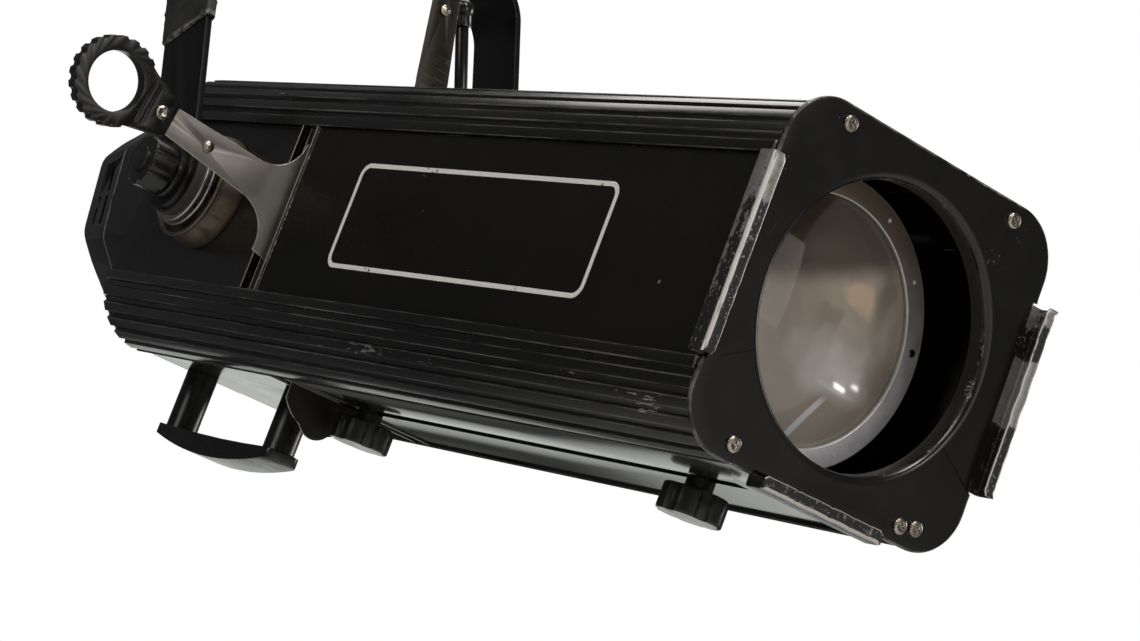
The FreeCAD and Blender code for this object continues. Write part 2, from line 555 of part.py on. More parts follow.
def inset(pts, d):
    """The convex outline moved inwards by d."""
    out = []
    n = len(pts)
    for i in range(n):
        a, b_, c_ = pts[i - 1], pts[i], pts[(i + 1) % n]
        l0, l1 = math.hypot(b_[0] - a[0], b_[1] - a[1]), math.hypot(c_[0] - b_[0], c_[1] - b_[1])
        n0 = (-(b_[1] - a[1]) / l0, (b_[0] - a[0]) / l0)
        n1 = (-(c_[1] - b_[1]) / l1, (c_[0] - b_[0]) / l1)
        r0, r1 = n0[0] * b_[0] + n0[1] * b_[1] + d, n1[0] * b_[0] + n1[1] * b_[1] + d
        det = n0[0] * n1[1] - n0[1] * n1[0]
        out.append(((r0 * n1[1] - r1 * n0[1]) / det, (n0[0] * r1 - n1[0] * r0) / det))
    return out


def soften(pts, r):
    """Each corner of the outline cut back into three short steps."""
    out = []
    n = len(pts)
    for i in range(n):
        a, b_, c_ = pts[i - 1], pts[i], pts[(i + 1) % n]
        def on(q, k):
            l = math.hypot(q[0] - b_[0], q[1] - b_[1])
            return (b_[0] + (q[0] - b_[0]) * k / l, b_[1] + (q[1] - b_[1]) * k / l)
        p1, p2 = on(a, r), on(c_, r)
        for t in (0.0, 0.33, 0.67, 1.0):
            out.append((p1[0] * (1 - t) ** 2 + 2 * b_[0] * t * (1 - t) + p2[0] * t * t,
                        p1[1] * (1 - t) ** 2 + 2 * b_[1] * t * (1 - t) + p2[1] * t * t))
    return out


def cap_wire(d, y, lean):
    pts = soften(inset(CAP_OUT, d), 6.0)
    vs = [V(x, y + lean * z, z) for x, z in pts]
    return Part.makePolygon(vs + [vs[0]])


def cap_body(sections):
    s = None
    for (d0_, y0_, l0_), (d1_, y1_, l1_) in zip(sections, sections[1:]):
        t = Part.makeLoft([cap_wire(d0_, y0_, l0_), cap_wire(d1_, y1_, l1_)], True, True)
        s = t if s is None else s.fuse(t)
    return s


outer = cap_body([(0, CAP_Y0, 0), (0, CAP_E1, CAP_LEAN), (14, CAP_E2, CAP_LEAN)])
inner = cap_body([(3, CAP_Y0 - 1, 0), (3, CAP_E1 - 1, CAP_LEAN), (16.8, CAP_E2 - 3.5, CAP_LEAN)])
cap = outer.cut(inner)


def lean_slot(x0, x1, y0, y1, z0, z1):
    w_ = Part.makePolygon([V(x0, y + CAP_LEAN * z, z) for y, z in ((y0, z0), (y1, z0), (y1, z1), (y0, z1), (y0, z0))])
    return Part.Face(w_).extrude(V(x1 - x0, 0, 0))


# cooling slots through the tapered band, all four sides
for ys in (CAP_E1 + 14.0, CAP_E1 + 34.0):
    for sgn in (-1, 1):
        for z0 in (-24.0, 2.0):
            cap = cap.cut(lean_slot(min(sgn * 80, sgn * 108), max(sgn * 80, sgn * 108), ys, ys + 6, z0, z0 + 22))
        for x0 in (-33.0, -10.0, 13.0):
            yl = ys + CAP_LEAN * sgn * 94
            cap = cap.cut(box(x0, x0 + 20, yl, yl + 6, min(sgn * 76, sgn * 103), max(sgn * 76, sgn * 103)))
# rear face openings, square to the leaning face: alignment knob and cable entry
nl = math.hypot(1.0, CAP_LEAN)
NV = V(0, 1.0 / nl, -CAP_LEAN / nl)


def off_face(z, d):
    """Point above height z on the rear face, d outside it."""
    return V(0, CAP_E2 + CAP_LEAN * z + NV.y * d, z + NV.z * d)


GZc = -52.0
cap = cap.cut(Part.makeCylinder(5.0, 20, off_face(0, -14), NV))
cap = cap.cut(Part.makeCylinder(5.4, 20, off_face(GZc, -14), NV))


def prism(d, y0, y1):
    w_ = cap_wire(d, y0, 0)
    return Part.Face(w_).extrude(V(0, y1 - y0, 0))


skirt = prism(3.2, BODY_LEN - 5, CAP_Y0 + 3).cut(prism(5.2, BODY_LEN - 6, CAP_Y0 + 4))
web = prism(1.0, CAP_Y0, CAP_Y0 + 3).cut(prism(5.2, CAP_Y0 - 1, CAP_Y0 + 4))
# plate that closes the corners of the housing's end
closer = rounded_rect(HX - 5.2, HZ - 5.2, 38, BODY_LEN - 4, BODY_LEN - 2).cut(prism(4.2, BODY_LEN - 5, BODY_LEN - 1))
rear_cap = fuse([cap, skirt, web, closer])
save("rear_cap", rear_cap)
# lamp carriage plate carried by the cap on two posts
plate = rounded_rect(80, 76, 40, 700.0, 702.5)
posts = [cyl(4, (x, 702.5, 0), (x, CAP_E2 + 6, 0)).common(inner) for x in (-66, 66)]
save("lamp_carrier", fuse([plate.cut(cyl(23, (0, 690, 0), (0, 710, 0)))] + posts))
soc = cyl(22.8, (0, 688, 0), (0, 724, 0)).fuse(cyl(30, (0, 702.5, 0), (0, 708, 0))).cut(cyl(11.2, (0, 680, 0), (0, 716, 0)))
save("lamp_socket", soc.removeSplitter())
save("lamp_base", cyl(11.0, (0, 672, 0), (0, 715.5, 0)).fuse(cyl(13.0, (0, 664, 0), (0, 672, 0))).removeSplitter())
bulb = cyl(9.5, (0, 612, 0), (0, 664, 0)).fuse(Part.makeSphere(9.5, V(0, 612, 0))).removeSplitter()
save("lamp_bulb", bulb)
al = Part.makeCylinder(4.9, 44, off_face(0, -42), NV).fuse(Part.makeCylinder(17, 16, off_face(0, 0.5), NV))
for i in range(10):
    a = math.radians(36 * i)
    e1_ = V(1, 0, 0)
    e2_ = NV.cross(e1_)
    o_ = off_face(0, -1)
    c_ = V(o_.x + 18.2 * (math.cos(a) * e1_.x + math.sin(a) * e2_.x), o_.y + 18.2 * (math.cos(a) * e1_.y + math.sin(a) * e2_.y),
           o_.z + 18.2 * (math.cos(a) * e1_.z + math.sin(a) * e2_.z))
    al = al.cut(Part.makeCylinder(3.0, 30, c_, NV))
save("lamp_adjust_knob", al.removeSplitter())
gl = Part.makeCylinder(12.5, 8, off_face(GZc, 0), NV).fuse(Part.makeCone(10.5, 7.8, 13, off_face(GZc, 8), NV)).removeSplitter().cut(
    Part.makeCylinder(5.0, 60, off_face(GZc, -10), NV))
save("cable_gland", gl)
gm = off_face(GZc, 10.5)
print("gland bore middle (body)", [round(c, 4) for c in gm], "face point", [round(c, 4) for c in off_face(0, 0)], "normal", [round(c, 6) for c in ROT.multVec(NV)])
print("pivot row frame", 0, 0, PZ)
for nm, p in (("front plate centre", (0, 0, 0)), ("front focus stud", (0, FK_Y, -110)), ("rear focus stud", (0, RK_Y, -110)),
              ("optical axis rear", (0, CAP_E2, 0)), ("handle mid", (HANDLE_X, 600, -125))):
    w_ = PL.multVec(V(*p))
    print(nm, [round(c / 1000, 6) for c in w_])
print("axis y", ROT.multVec(V(0, 1, 0)), "axis z", ROT.multVec(V(0, 0, 1)))
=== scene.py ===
import json
import math
import random
import bpy
import bmesh
from mathutils import Matrix, Vector, noise

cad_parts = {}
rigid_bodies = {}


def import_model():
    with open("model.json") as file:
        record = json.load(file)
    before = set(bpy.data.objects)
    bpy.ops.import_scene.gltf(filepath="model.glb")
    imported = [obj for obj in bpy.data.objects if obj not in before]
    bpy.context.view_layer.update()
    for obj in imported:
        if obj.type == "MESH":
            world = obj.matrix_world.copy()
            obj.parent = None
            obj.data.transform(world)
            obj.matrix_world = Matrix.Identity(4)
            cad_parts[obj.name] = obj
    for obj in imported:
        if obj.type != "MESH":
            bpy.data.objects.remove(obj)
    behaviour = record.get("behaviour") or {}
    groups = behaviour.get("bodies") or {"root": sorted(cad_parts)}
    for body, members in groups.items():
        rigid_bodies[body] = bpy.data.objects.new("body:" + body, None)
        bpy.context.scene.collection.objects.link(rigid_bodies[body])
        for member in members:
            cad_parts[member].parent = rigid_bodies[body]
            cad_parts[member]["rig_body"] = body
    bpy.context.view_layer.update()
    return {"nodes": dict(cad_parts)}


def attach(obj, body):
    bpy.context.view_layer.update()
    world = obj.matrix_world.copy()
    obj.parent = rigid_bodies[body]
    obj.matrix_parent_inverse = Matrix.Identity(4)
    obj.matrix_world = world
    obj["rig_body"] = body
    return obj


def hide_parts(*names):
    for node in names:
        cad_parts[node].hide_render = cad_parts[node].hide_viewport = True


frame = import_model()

NODES = frame["nodes"]

# ------------------------------------------------------------------ frames
# Housing sizes are given in millimetres in the housing's own frame: x across,
# y from the front plate towards the rear along the optical axis, z up.
TILT = math.radians(29.5)
PIV_Y, PIV_Z = 580.0, 5.0
PZ = -314.8
HX, HZ = 106.0, 101.0
RIB = 2.5
CR = 45.0
CX, CZ = HX + RIB - CR, HZ + RIB - CR
BODY_LEN = 682.0
OPEN_R = 81.5

B2W = (Matrix.Scale(0.001, 4) @ Matrix.Translation((0, 0, PZ)) @ Matrix.Rotation(TILT, 4, "X")
       @ Matrix.Translation((0, -PIV_Y, -PIV_Z)))
YOKE2W = Matrix.Scale(0.001, 4)
ROT_W = Matrix.Rotation(TILT, 3, "X")


def link(o):
    bpy.context.scene.collection.objects.link(o)
    return o


def mesh_obj(name, verts, faces, mat=None, m=B2W, smooth=35.0, fix=True):
    me = bpy.data.meshes.new(name)
    me.from_pydata([tuple(m @ Vector(v)) for v in verts], [], faces)
    me.validate()
    me.update()
    o = link(bpy.data.objects.new(name, me))
    if fix:
        bm = bmesh.new()
        bm.from_mesh(me)
        bmesh.ops.remove_doubles(bm, verts=bm.verts, dist=1e-6)
        bmesh.ops.recalc_face_normals(bm, faces=bm.faces)
        bm.to_mesh(me)
        bm.free()
    shade(o, smooth)
    if mat:
        me.materials.append(mat)
    return o


def shade(o, angle=35.0):
    me = o.data
    me.polygons.foreach_set("use_smooth", [True] * len(me.polygons))
    me.set_sharp_from_angle(angle=math.radians(angle))
    me.update()


def apply_mods(o):
    bpy.context.view_layer.update()
    dg = bpy.context.evaluated_depsgraph_get()
    me = bpy.data.meshes.new_from_object(o.evaluated_get(dg))
    old = o.data
    o.modifiers.clear()
    o.data = me
    bpy.data.meshes.remove(old)
    return o


def bevel(o, width_mm, seg=2, angle=32.0, clamp=True):
    """Rounds the sharp edges and marks the new narrow faces in the face attribute "edge"."""
    me = o.data
    me.materials.clear()
    me.materials.append(None)
    me.materials.append(None)
    me.polygons.foreach_set("material_index", [0] * len(me.polygons))
    md = o.modifiers.new("b", "BEVEL")
    md.width = width_mm / 1000.0
    md.segments = seg
    md.limit_method = "ANGLE"
    md.angle_limit = math.radians(angle)
    md.use_clamp_overlap = clamp
    md.harden_normals = False
    md.miter_outer = "MITER_ARC"
    md.material = 1
    apply_mods(o)
    me = o.data
    vals = [0.0] * len(me.polygons)
    for i, p in enumerate(me.polygons):
        vals[i] = 1.0 if p.material_index == 1 else 0.0
    at = me.attributes.new("edge", "FLOAT", "FACE")
    at.data.foreach_set("value", vals)
    me.polygons.foreach_set("material_index", [0] * len(me.polygons))
    shade(o, 40.0)
    return o


def detail(node, mat, width=0.5, seg=2, angle=32.0, dissolve=1.0, name=None, body=None, sub=0.0):
    """A finer copy of a frame node: welded, with rounded edges and an edge attribute."""
    src = NODES[node]
    me = src.data.copy()
    me.materials.clear()
    o = link(bpy.data.objects.new(name or node + ".fine", me))
    bm = bmesh.new()
    bm.from_mesh(me)
    bmesh.ops.remove_doubles(bm, verts=bm.verts, dist=2e-6)
    bmesh.ops.dissolve_limit(bm, angle_limit=math.radians(dissolve), verts=bm.verts, edges=bm.edges,
                             use_dissolve_boundaries=False)
    bm.to_mesh(me)
    bm.free()
    for a in list(me.attributes):
        if a.name in ("UVMap", "Color", "COLOR_0"):
            me.attributes.remove(a)
    if width > 0:
        bevel(o, width, seg, angle)
    else:
        o.data.attributes.new("edge", "FLOAT", "POINT")
        shade(o, 35.0)
    o.data.materials.clear()
    o.data.materials.append(mat)
    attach(o, body or src["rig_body"])
    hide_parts(node)
    return o


# ------------------------------------------------------------------ material kit
class Mat:
    """Small helper for writing node materials."""

    def __init__(self, name):
        self.m = bpy.data.materials.new(name)
        self.m.use_nodes = True
        self.t = self.m.node_tree
        self.t.nodes.clear()
        self.out = self.t.nodes.new("ShaderNodeOutputMaterial")
        self.b = self.t.nodes.new("ShaderNodeBsdfPrincipled")
        self.t.links.new(self.b.outputs[0], self.out.inputs[0])
        self.tc = self.t.nodes.new("ShaderNodeTexCoord")
        self._body = None

    def n(self, kind, **kw):
        x = self.t.nodes.new(kind)
        for k, v in kw.items():
            if k.startswith("i_"):
                key = k[2:]
                x.inputs[int(key) if key.isdigit() else key.replace("_", " ")].default_value = v
            else:
                setattr(x, k, v)
        return x

    def l(self, a, b):
        self.t.links.new(a, b)
        return b

    @property
    def co(self):
        return self.tc.outputs["Object"]

    @property
    def body(self):
        """Object coordinates in the housing's frame, metres: x across, y rearward, z up."""
        if self._body is None:
            mp = self.n("ShaderNodeMapping")
            mp.vector_type = "POINT"
            rot = Matrix.Rotation(-TILT, 3, "X")
            t = Vector((0, 0, PZ / 1000.0))
            p = Vector((0, PIV_Y / 1000.0, PIV_Z / 1000.0))
            loc = p - rot @ t
            mp.inputs["Rotation"].default_value = (-TILT, 0, 0)
            mp.inputs["Location"].default_value = tuple(loc)
            self.l(self.co, mp.inputs["Vector"])
            self._body = mp.outputs[0]
        return self._body

    def scaled(self, vec, s):
        mp = self.n("ShaderNodeMapping")
        mp.inputs["Scale"].default_value = s if isinstance(s, (tuple, list)) else (s, s, s)
        self.l(vec, mp.inputs["Vector"])
        return mp.outputs[0]

    def noise(self, vec, scale, detail=3.0, rough=0.55, dist=0.0):
        x = self.n("ShaderNodeTexNoise")
        x.inputs["Scale"].default_value = scale
        x.inputs["Detail"].default_value = detail
        x.inputs["Roughness"].default_value = rough
        x.inputs["Distortion"].default_value = dist
        self.l(vec, x.inputs["Vector"])
        return x.outputs["Fac"]

    def ramp(self, fac, stops):
        x = self.n("ShaderNodeValToRGB")
        el = x.color_ramp.elements
        while len(el) < len(stops):
            el.new(0.5)
        for e, (p, c) in zip(el, stops):
            e.position = p
            e.color = (c, c, c, 1) if isinstance(c, (int, float)) else (c[0], c[1], c[2], 1)
        self.l(fac, x.inputs[0])
        return x.outputs[0]

    def math(self, op, a, b=None, c=None, clamp=False):
        x = self.n("ShaderNodeMath", operation=op, use_clamp=clamp)
        for i, v in enumerate((a, b, c)):
            if v is None:
                continue
            if isinstance(v, (int, float)):
                x.inputs[i].default_value = v
            else:
                self.l(v, x.inputs[i])
        return x.outputs[0]

    def step(self, v, lo, hi):
        """0 below lo, 1 above hi (or reversed)."""
        x = self.n("ShaderNodeMapRange", clamp=True)
        x.interpolation_type = "SMOOTHSTEP"
        if lo <= hi:
            x.inputs["From Min"].default_value, x.inputs["From Max"].default_value = lo, hi
            x.inputs["To Min"].default_value, x.inputs["To Max"].default_value = 0, 1
        else:
            x.inputs["From Min"].default_value, x.inputs["From Max"].default_value = hi, lo
            x.inputs["To Min"].default_value, x.inputs["To Max"].default_value = 1, 0
        self.l(v, x.inputs["Value"])
        return x.outputs[0]

    def mix(self, fac, a, b):
        x = self.n("ShaderNodeMix", data_type="RGBA")
        for s_, v in ((x.inputs[0], fac), (x.inputs[6], a), (x.inputs[7], b)):
            if isinstance(v, (int, float)):
                s_.default_value = v
            elif isinstance(v, tuple):
                s_.default_value = (v[0], v[1], v[2], 1)
            else:
                self.l(v, s_)
        return x.outputs[2]

    def mixf(self, fac, a, b):
        x = self.n("ShaderNodeMix", data_type="FLOAT")
        for s_, v in ((x.inputs[0], fac), (x.inputs[2], a), (x.inputs[3], b)):
            if isinstance(v, (int, float)):
                s_.default_value = v
            else:
                self.l(v, s_)
        return x.outputs[0]

    def attr(self, name):
        x = self.n("ShaderNodeAttribute", attribute_name=name)
        return x.outputs["Fac"]

    def sep(self, vec):
        x = self.n("ShaderNodeSeparateXYZ")
        self.l(vec, x.inputs[0])
        return x.outputs

    def bump(self, height, strength, dist=0.001, normal=None):
        x = self.n("ShaderNodeBump")
        x.inputs["Strength"].default_value = strength
        x.inputs["Distance"].default_value = dist
        self.l(height, x.inputs["Height"])
        if normal is not None:
            self.l(normal, x.inputs["Normal"])
        return x.outputs[0]

    def scratches(self, vec, seed, scale=(14, 600, 14), width=0.012, cover=0.35):
        """Thin straight scratches: a stretched noise sliced near one value, broken up by another."""
        mp = self.n("ShaderNodeMapping")
        mp.inputs["Scale"].default_value = scale
        mp.inputs["Rotation"].default_value = (0.3 * seed, 0.55 * seed, 0.8 * seed)
        mp.inputs["Location"].default_value = (seed * 3.1, seed * 1.7, seed * 2.3)
        self.l(vec, mp.inputs["Vector"])
        nz = self.noise(mp.outputs[0], 1.0, 2.0, 0.5, 0.15)
        band = self.math("SUBTRACT", nz, 0.5)
        band = self.math("ABSOLUTE", band)
        line = self.step(band, width, width * 0.35)
        brk = self.noise(vec, 26.0 + seed * 3, 2.0)
        return self.math("MULTIPLY", line, self.step(brk, 1 - cover - 0.05, 1 - cover + 0.05))

    def set(self, socket, v):
        s_ = self.b.inputs[socket]
        if isinstance(v, (int, float)):
            s_.default_value = v
        elif isinstance(v, tuple):
            s_.default_value = (v[0], v[1], v[2], 1) if len(v) == 3 else v
        else:
            self.l(v, s_)


def paint(name, base=(0.0036, 0.0034, 0.0030), bare=(0.55, 0.53, 0.50), rough=0.28, wear=0.3, chips=0.2, scr=0.4,
          dust=0.25, flecks=(), peel=0.02, dust_and_sheen=(0.014, 0.0125, 0.0105), spec=0.40, rubbed_rim_highlight=None, rub_and_highlight=(0.040, 0.037, 0.034), rub_and_highlight_amt=0.55, ridge_highlight=None):
    """Black enamel: cloudy tone, light orange peel, smudges, hairline scratches, a few chips down to bare metal, and
    lightened edges and ridges that partly stand in as painted highlights.
    """
    k = Mat(name)
    co = k.body
    cloud = k.noise(co, 7.0, 4.0, 0.6)
    fine = k.noise(co, 70.0, 4.0, 0.6)
    grit = k.noise(co, 380.0, 3.0, 0.6)
    col = k.mix(k.step(cloud, 0.25, 0.78), tuple(c * 0.8 for c in base), tuple(c * 1.3 for c in base))
    # greasy smudges and a thin film of dust; where the film colour is pale it is also painted light, on the underside a
    # painted reflection of the floor
    smudge = k.noise(k.scaled(co, (11, 4, 11)), 1.0, 3.0, 0.5, 0.5)
    film = k.math("MULTIPLY", k.step(smudge, 0.50, 0.78), dust)
    col = k.mix(film, col, dust_and_sheen)
    speck = k.math("MULTIPLY", k.step(k.noise(co, 640.0, 1.0, 0.5), 0.72, 0.77), 0.45 * dust)
    col = k.mix(speck, col, (0.07, 0.064, 0.056))
    s1 = k.scratches(co, 1.0, (16, 420, 16), 0.006, 0.30)
    s2 = k.scratches(co, 2.3, (440, 20, 20), 0.005, 0.24)
    lines = k.math("MULTIPLY", k.math("MAXIMUM", s1, s2), 0.5 * scr)
    col = k.mix(lines, col, (0.060, 0.055, 0.048))
    edge = k.attr("edge")
    # bevelled edges mixed towards a lighter colour: rubbed paint, and where that colour is light (rails, front plate) a
    # painted highlight along the edges
    col = k.mix(k.math("MULTIPLY", edge, k.math("MULTIPLY", k.step(fine, 0.36, 0.66), rub_and_highlight_amt)), col, rub_and_highlight)
    if ridge_highlight is not None:
        # corners of the ridges painted lighter grey: partly polish from handling, partly a painted highlight along the
        # ridges; the argument holds (centre x, centre z, radius, step in radians)
        rx, rz, rr, rs_ = ridge_highlight
        q = k.sep(co)
        ax = k.math("SUBTRACT", k.math("ABSOLUTE", q[0]), rx)
        az = k.math("SUBTRACT", k.math("ABSOLUTE", q[2]), rz)
        fr_ = k.math("FRACT", k.math("DIVIDE", k.math("ARCTAN2", az, ax), rs_))
        e1 = k.math("MINIMUM", k.math("ABSOLUTE", k.math("SUBTRACT", fr_, 0.56)), k.math("MINIMUM", fr_, k.math("SUBTRACT", 1.0, fr_)))
        rad = k.math("SQRT", k.math("ADD", k.math("MULTIPLY", ax, ax), k.math("MULTIPLY", az, az)))
        on = k.math("MULTIPLY", k.step(e1, 0.075, 0.025), k.step(rad, rr - 0.0009, rr - 0.0003))
        brk = k.noise(k.scaled(co, (150, 9, 150)), 1.0, 4.0, 0.7)
        on = k.math("MULTIPLY", on, k.step(brk, 0.40, 0.66))
        col = k.mix(k.math("MULTIPLY", on, 0.9), col, (0.135, 0.125, 0.110))
    # chips along edges, and a few loose ones
    chipn = k.noise(co, 26.0, 5.0, 0.72)
    chipf = k.noise(co, 240.0, 4.0, 0.7)
    both = k.math("ADD", k.math("MULTIPLY", chipn, 0.62), k.math("MULTIPLY", chipf, 0.38))
    em = k.math("MULTIPLY", edge, k.step(both, 0.69 - 0.16 * wear, 0.72 - 0.16 * wear))
    m = k.math("MAXIMUM", em, k.step(both, 0.80 - 0.10 * chips, 0.815 - 0.10 * chips))
    if flecks:
        streak = k.noise(k.scaled(co, (460, 62, 460)), 1.0, 5.0, 0.74)
        fm = None
        for (cx, cy, cz), (hx, hy, hz), amt in flecks:
            v1 = k.n("ShaderNodeVectorMath", operation="SUBTRACT")
            k.l(co, v1.inputs[0])
            v1.inputs[1].default_value = (cx / 1000.0, cy / 1000.0, cz / 1000.0)
            v2 = k.n("ShaderNodeVectorMath", operation="MULTIPLY")
            k.l(v1.outputs[0], v2.inputs[0])
            v2.inputs[1].default_value = (1000.0 / hx, 1000.0 / hy, 1000.0 / hz)
            v3 = k.n("ShaderNodeVectorMath", operation="LENGTH")
            k.l(v2.outputs[0], v3.inputs[0])
            one = k.math("MULTIPLY", k.step(v3.outputs["Value"], 1.0, 0.45), amt)
            fm = one if fm is None else k.math("MAXIMUM", fm, one)
        m = k.math("MAXIMUM", m, k.step(k.math("MULTIPLY_ADD", fm, 0.20, streak), 0.742, 0.757))
    if rubbed_rim_highlight is not None:
        # the turned edge y = y0 + lean * z, rubbed to bare metal in a thin line that also stands in as a painted
        # highlight along that edge
        x = k.sep(co)
        y0, lean, w_ = rubbed_rim_highlight
        dd = k.math("SUBTRACT", x[1], k.math("MULTIPLY_ADD", x[2], lean, y0))
        dd = k.math("ABSOLUTE", k.math("MULTIPLY_ADD", k.math("SUBTRACT", chipn, 0.5), 0.006, dd))
        ln = k.math("MULTIPLY", k.step(dd, w_, w_ * 0.4), k.step(both, 0.40, 0.50))
        m = k.math("MAXIMUM", m, k.math("MULTIPLY", ln, 0.8))
    barec = k.mix(k.noise(co, 300.0, 3.0), tuple(c * 0.55 for c in bare), bare)
    k.set("Base Color", k.mix(m, col, barec))
    k.set("Metallic", k.math("MULTIPLY", m, 0.8))
    r = k.math("MULTIPLY_ADD", fine, 0.10, rough - 0.05)
    r = k.math("MULTIPLY_ADD", k.step(smudge, 0.30, 0.80), 0.04, r)
    k.set("Roughness", k.mixf(m, r, 0.42))
    h = k.math("MULTIPLY", grit, 0.35)
    h = k.math("SUBTRACT", h, k.math("MULTIPLY", m, 1.4))
    h = k.math("SUBTRACT", h, k.math("MULTIPLY", lines, 0.5))
    nb = k.bump(h, 0.10 + peel, 0.0002)
    wav = k.noise(co, 4.5, 2.0, 0.5)
    k.set("Normal", k.bump(wav, 0.10, 0.006, nb))
    k.set("Specular IOR Level", spec)
    return k.m


def steel(name, base=(0.30, 0.285, 0.27), rough=0.36, tint=(0.235, 0.21, 0.19), metal=0.9, stainc=(0.12, 0.10, 0.085), stain=0.35):
    """Heat-darkened sheet steel: soft clouds, a few stains, faint brushing along the blade."""
    k = Mat(name)
    co = k.co
    cl = k.noise(co, 13.0, 4.0, 0.6, 0.4)
    fine = k.noise(co, 150.0, 4.0, 0.6)
    col = k.mix(k.step(cl, 0.32, 0.70), base, tint)
    col = k.mix(k.math("MULTIPLY", k.step(fine, 0.45, 0.8), 0.14), col, tuple(min(1.0, c * 1.5) for c in base))
    st = k.step(k.noise(co, 16.0, 3.0, 0.5), 0.46, 0.80)
    col = k.mix(k.math("MULTIPLY", st, stain), col, stainc)
    s1 = k.scratches(co, 1.3, (16, 520, 24), 0.008, 0.40)
    s2 = k.scratches(co, 4.1, (560, 20, 20), 0.006, 0.30)
    col = k.mix(k.math("MULTIPLY", k.math("MAXIMUM", s1, s2), 0.28), col, (0.55, 0.53, 0.50))
    edge = k.attr("edge")
    em = k.math("MULTIPLY", edge, k.step(fine, 0.30, 0.55))
    col = k.mix(k.math("MULTIPLY", em, 0.8), col, (0.66, 0.64, 0.60))
    k.set("Base Color", col)
    k.set("Metallic", metal)
    k.set("Roughness", k.math("ADD", k.math("MULTIPLY", fine, 0.14), k.math("MULTIPLY_ADD", st, 0.14, rough - 0.07)))
    k.set("Normal", k.bump(k.math("ADD", k.math("MULTIPLY", fine, 0.35), k.math("MULTIPLY", cl, 2.0)), 0.12, 0.0004))
    return k.m


def bakelite(name, base=(0.0062, 0.0058, 0.0055), rough=0.27):
    """Moulded phenolic: faint mottling, rubbed edges, patches of dust."""
    k = Mat(name)
    co = k.co
    a = k.noise(co, 90.0, 5.0, 0.6, 0.6)
    b = k.noise(co, 700.0, 2.0, 0.6)
    c = k.noise(co, 26.0, 3.0, 0.6)
    col = k.mix(k.step(a, 0.35, 0.75), base, tuple(x * 2.0 for x in base))
    edge = k.attr("edge")
    em = k.math("MULTIPLY", edge, k.step(k.noise(co, 120.0, 4.0, 0.7), 0.48, 0.68))
    col = k.mix(k.math("MULTIPLY", em, 0.55), col, (0.055, 0.050, 0.045))
    col = k.mix(k.math("MULTIPLY", k.step(c, 0.52, 0.78), 0.22), col, (0.040, 0.036, 0.032))
    s1 = k.scratches(co, 5.2, (40, 700, 40), 0.008, 0.3)
    col = k.mix(k.math("MULTIPLY", s1, 0.35), col, (0.11, 0.10, 0.09))
    k.set("Base Color", col)
    k.set("Roughness", k.math("MULTIPLY_ADD", a, 0.20, rough - 0.10))
    k.set("Normal", k.bump(k.math("ADD", k.math("MULTIPLY", b, 0.25), a), 0.10, 0.0003))
    return k.m


def metal(name, base, rough=0.3, brush=None, dirt=(0.06, 0.055, 0.05), dirt_amt=0.4, metallic=1.0, scale=1.0):
    """Plain metal with brushing or turning marks, tarnish and grime."""
    k = Mat(name)
    co = k.co
    vec = co if brush is None else k.scaled(co, brush)
    br = k.noise(vec, 1.0 if brush is not None else 240.0 * scale, 3.0, 0.6)
    cl = k.noise(co, 60.0 * scale, 4.0, 0.65)
    col = k.mix(br, tuple(c * 0.72 for c in base), base)
    gr = k.math("MULTIPLY", k.step(cl, 0.48, 0.72), dirt_amt)
    col = k.mix(gr, col, dirt)
    edge = k.attr("edge")
    col = k.mix(k.math("MULTIPLY", edge, 0.35), col, tuple(min(1.0, c * 1.35) for c in base))
    k.set("Base Color", col)
    k.set("Metallic", metallic)
    k.set("Roughness", k.math("ADD", k.math("MULTIPLY", br, 0.25), k.math("MULTIPLY_ADD", gr, 0.35, rough - 0.12)))
    k.set("Normal", k.bump(br, 0.12, 0.0002))
    return k.m


# ------------------------------------------------------------------ geometry helpers
def lathe(name, prof, mat, axis="y", n=96, cx=0.0, cy=0.0, cz=0.0, m=B2W, smooth=38.0, closed=True):
    """Turns a closed (radius, station) profile about an axis through (cx, cy, cz)."""
    vs, fs = [], []
    k = len(prof)
    for i in range(n):
        a = 2 * math.pi * i / n
        c, s = math.cos(a), math.sin(a)
        for r, t in prof:
            if axis == "y":
                vs.append((cx + r * c, cy + t, cz + r * s))
            elif axis == "x":
                vs.append((cx + t, cy + r * c, cz + r * s))
            else:
                vs.append((cx + r * c, cy + r * s, cz + t))
    for i in range(n):
        j = (i + 1) % n
        for p in range(k if closed else k - 1):
            q = (p + 1) % k
            fs.append((i * k + p, i * k + q, j * k + q, j * k + p))
    return mesh_obj(name, vs, fs, mat, m, smooth)


def round_prof(pts, rad=0.5, seg=3):
    """Rounds the corners of a closed polygon profile."""
    out = []
    n = len(pts)
    for i in range(n):
        p0, p1, p2 = Vector(pts[i - 1]), Vector(pts[i]), Vector(pts[(i + 1) % n])
        d0, d1 = (p0 - p1), (p2 - p1)
        l0, l1 = d0.length, d1.length
        if l0 < 1e-6 or l1 < 1e-6:
            continue
        cosang = d0.normalized().dot(d1.normalized())
        if cosang < -0.97:
            out.append(tuple(p1))
            continue
        r = min(rad, l0 * 0.42, l1 * 0.42)
        a, b = p1 + d0.normalized() * r, p1 + d1.normalized() * r
        for s_ in range(seg + 1):
            t = s_ / seg
            q = a * (1 - t) ** 2 + p1 * 2 * t * (1 - t) + b * t * t
            out.append(tuple(q))
    return out


def ride(o, body, slot=None, *nodes):
    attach(o, body)
    if nodes:
        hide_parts(*nodes)
    return o


def wobble(o, amp_mm, scale, seed=0.0, axis=None, mask=None):
    me = o.data
    for v in me.vertices:
        p = v.co * scale + Vector((seed, seed * 1.7, seed * 0.6))
        d = noise.noise(p) * amp_mm / 1000.0
        w = mask(v.co) if mask else 1.0
        if axis is None:
            v.co += v.normal * d * w
        else:
            v.co += Vector(axis) * d * w
    me.update()


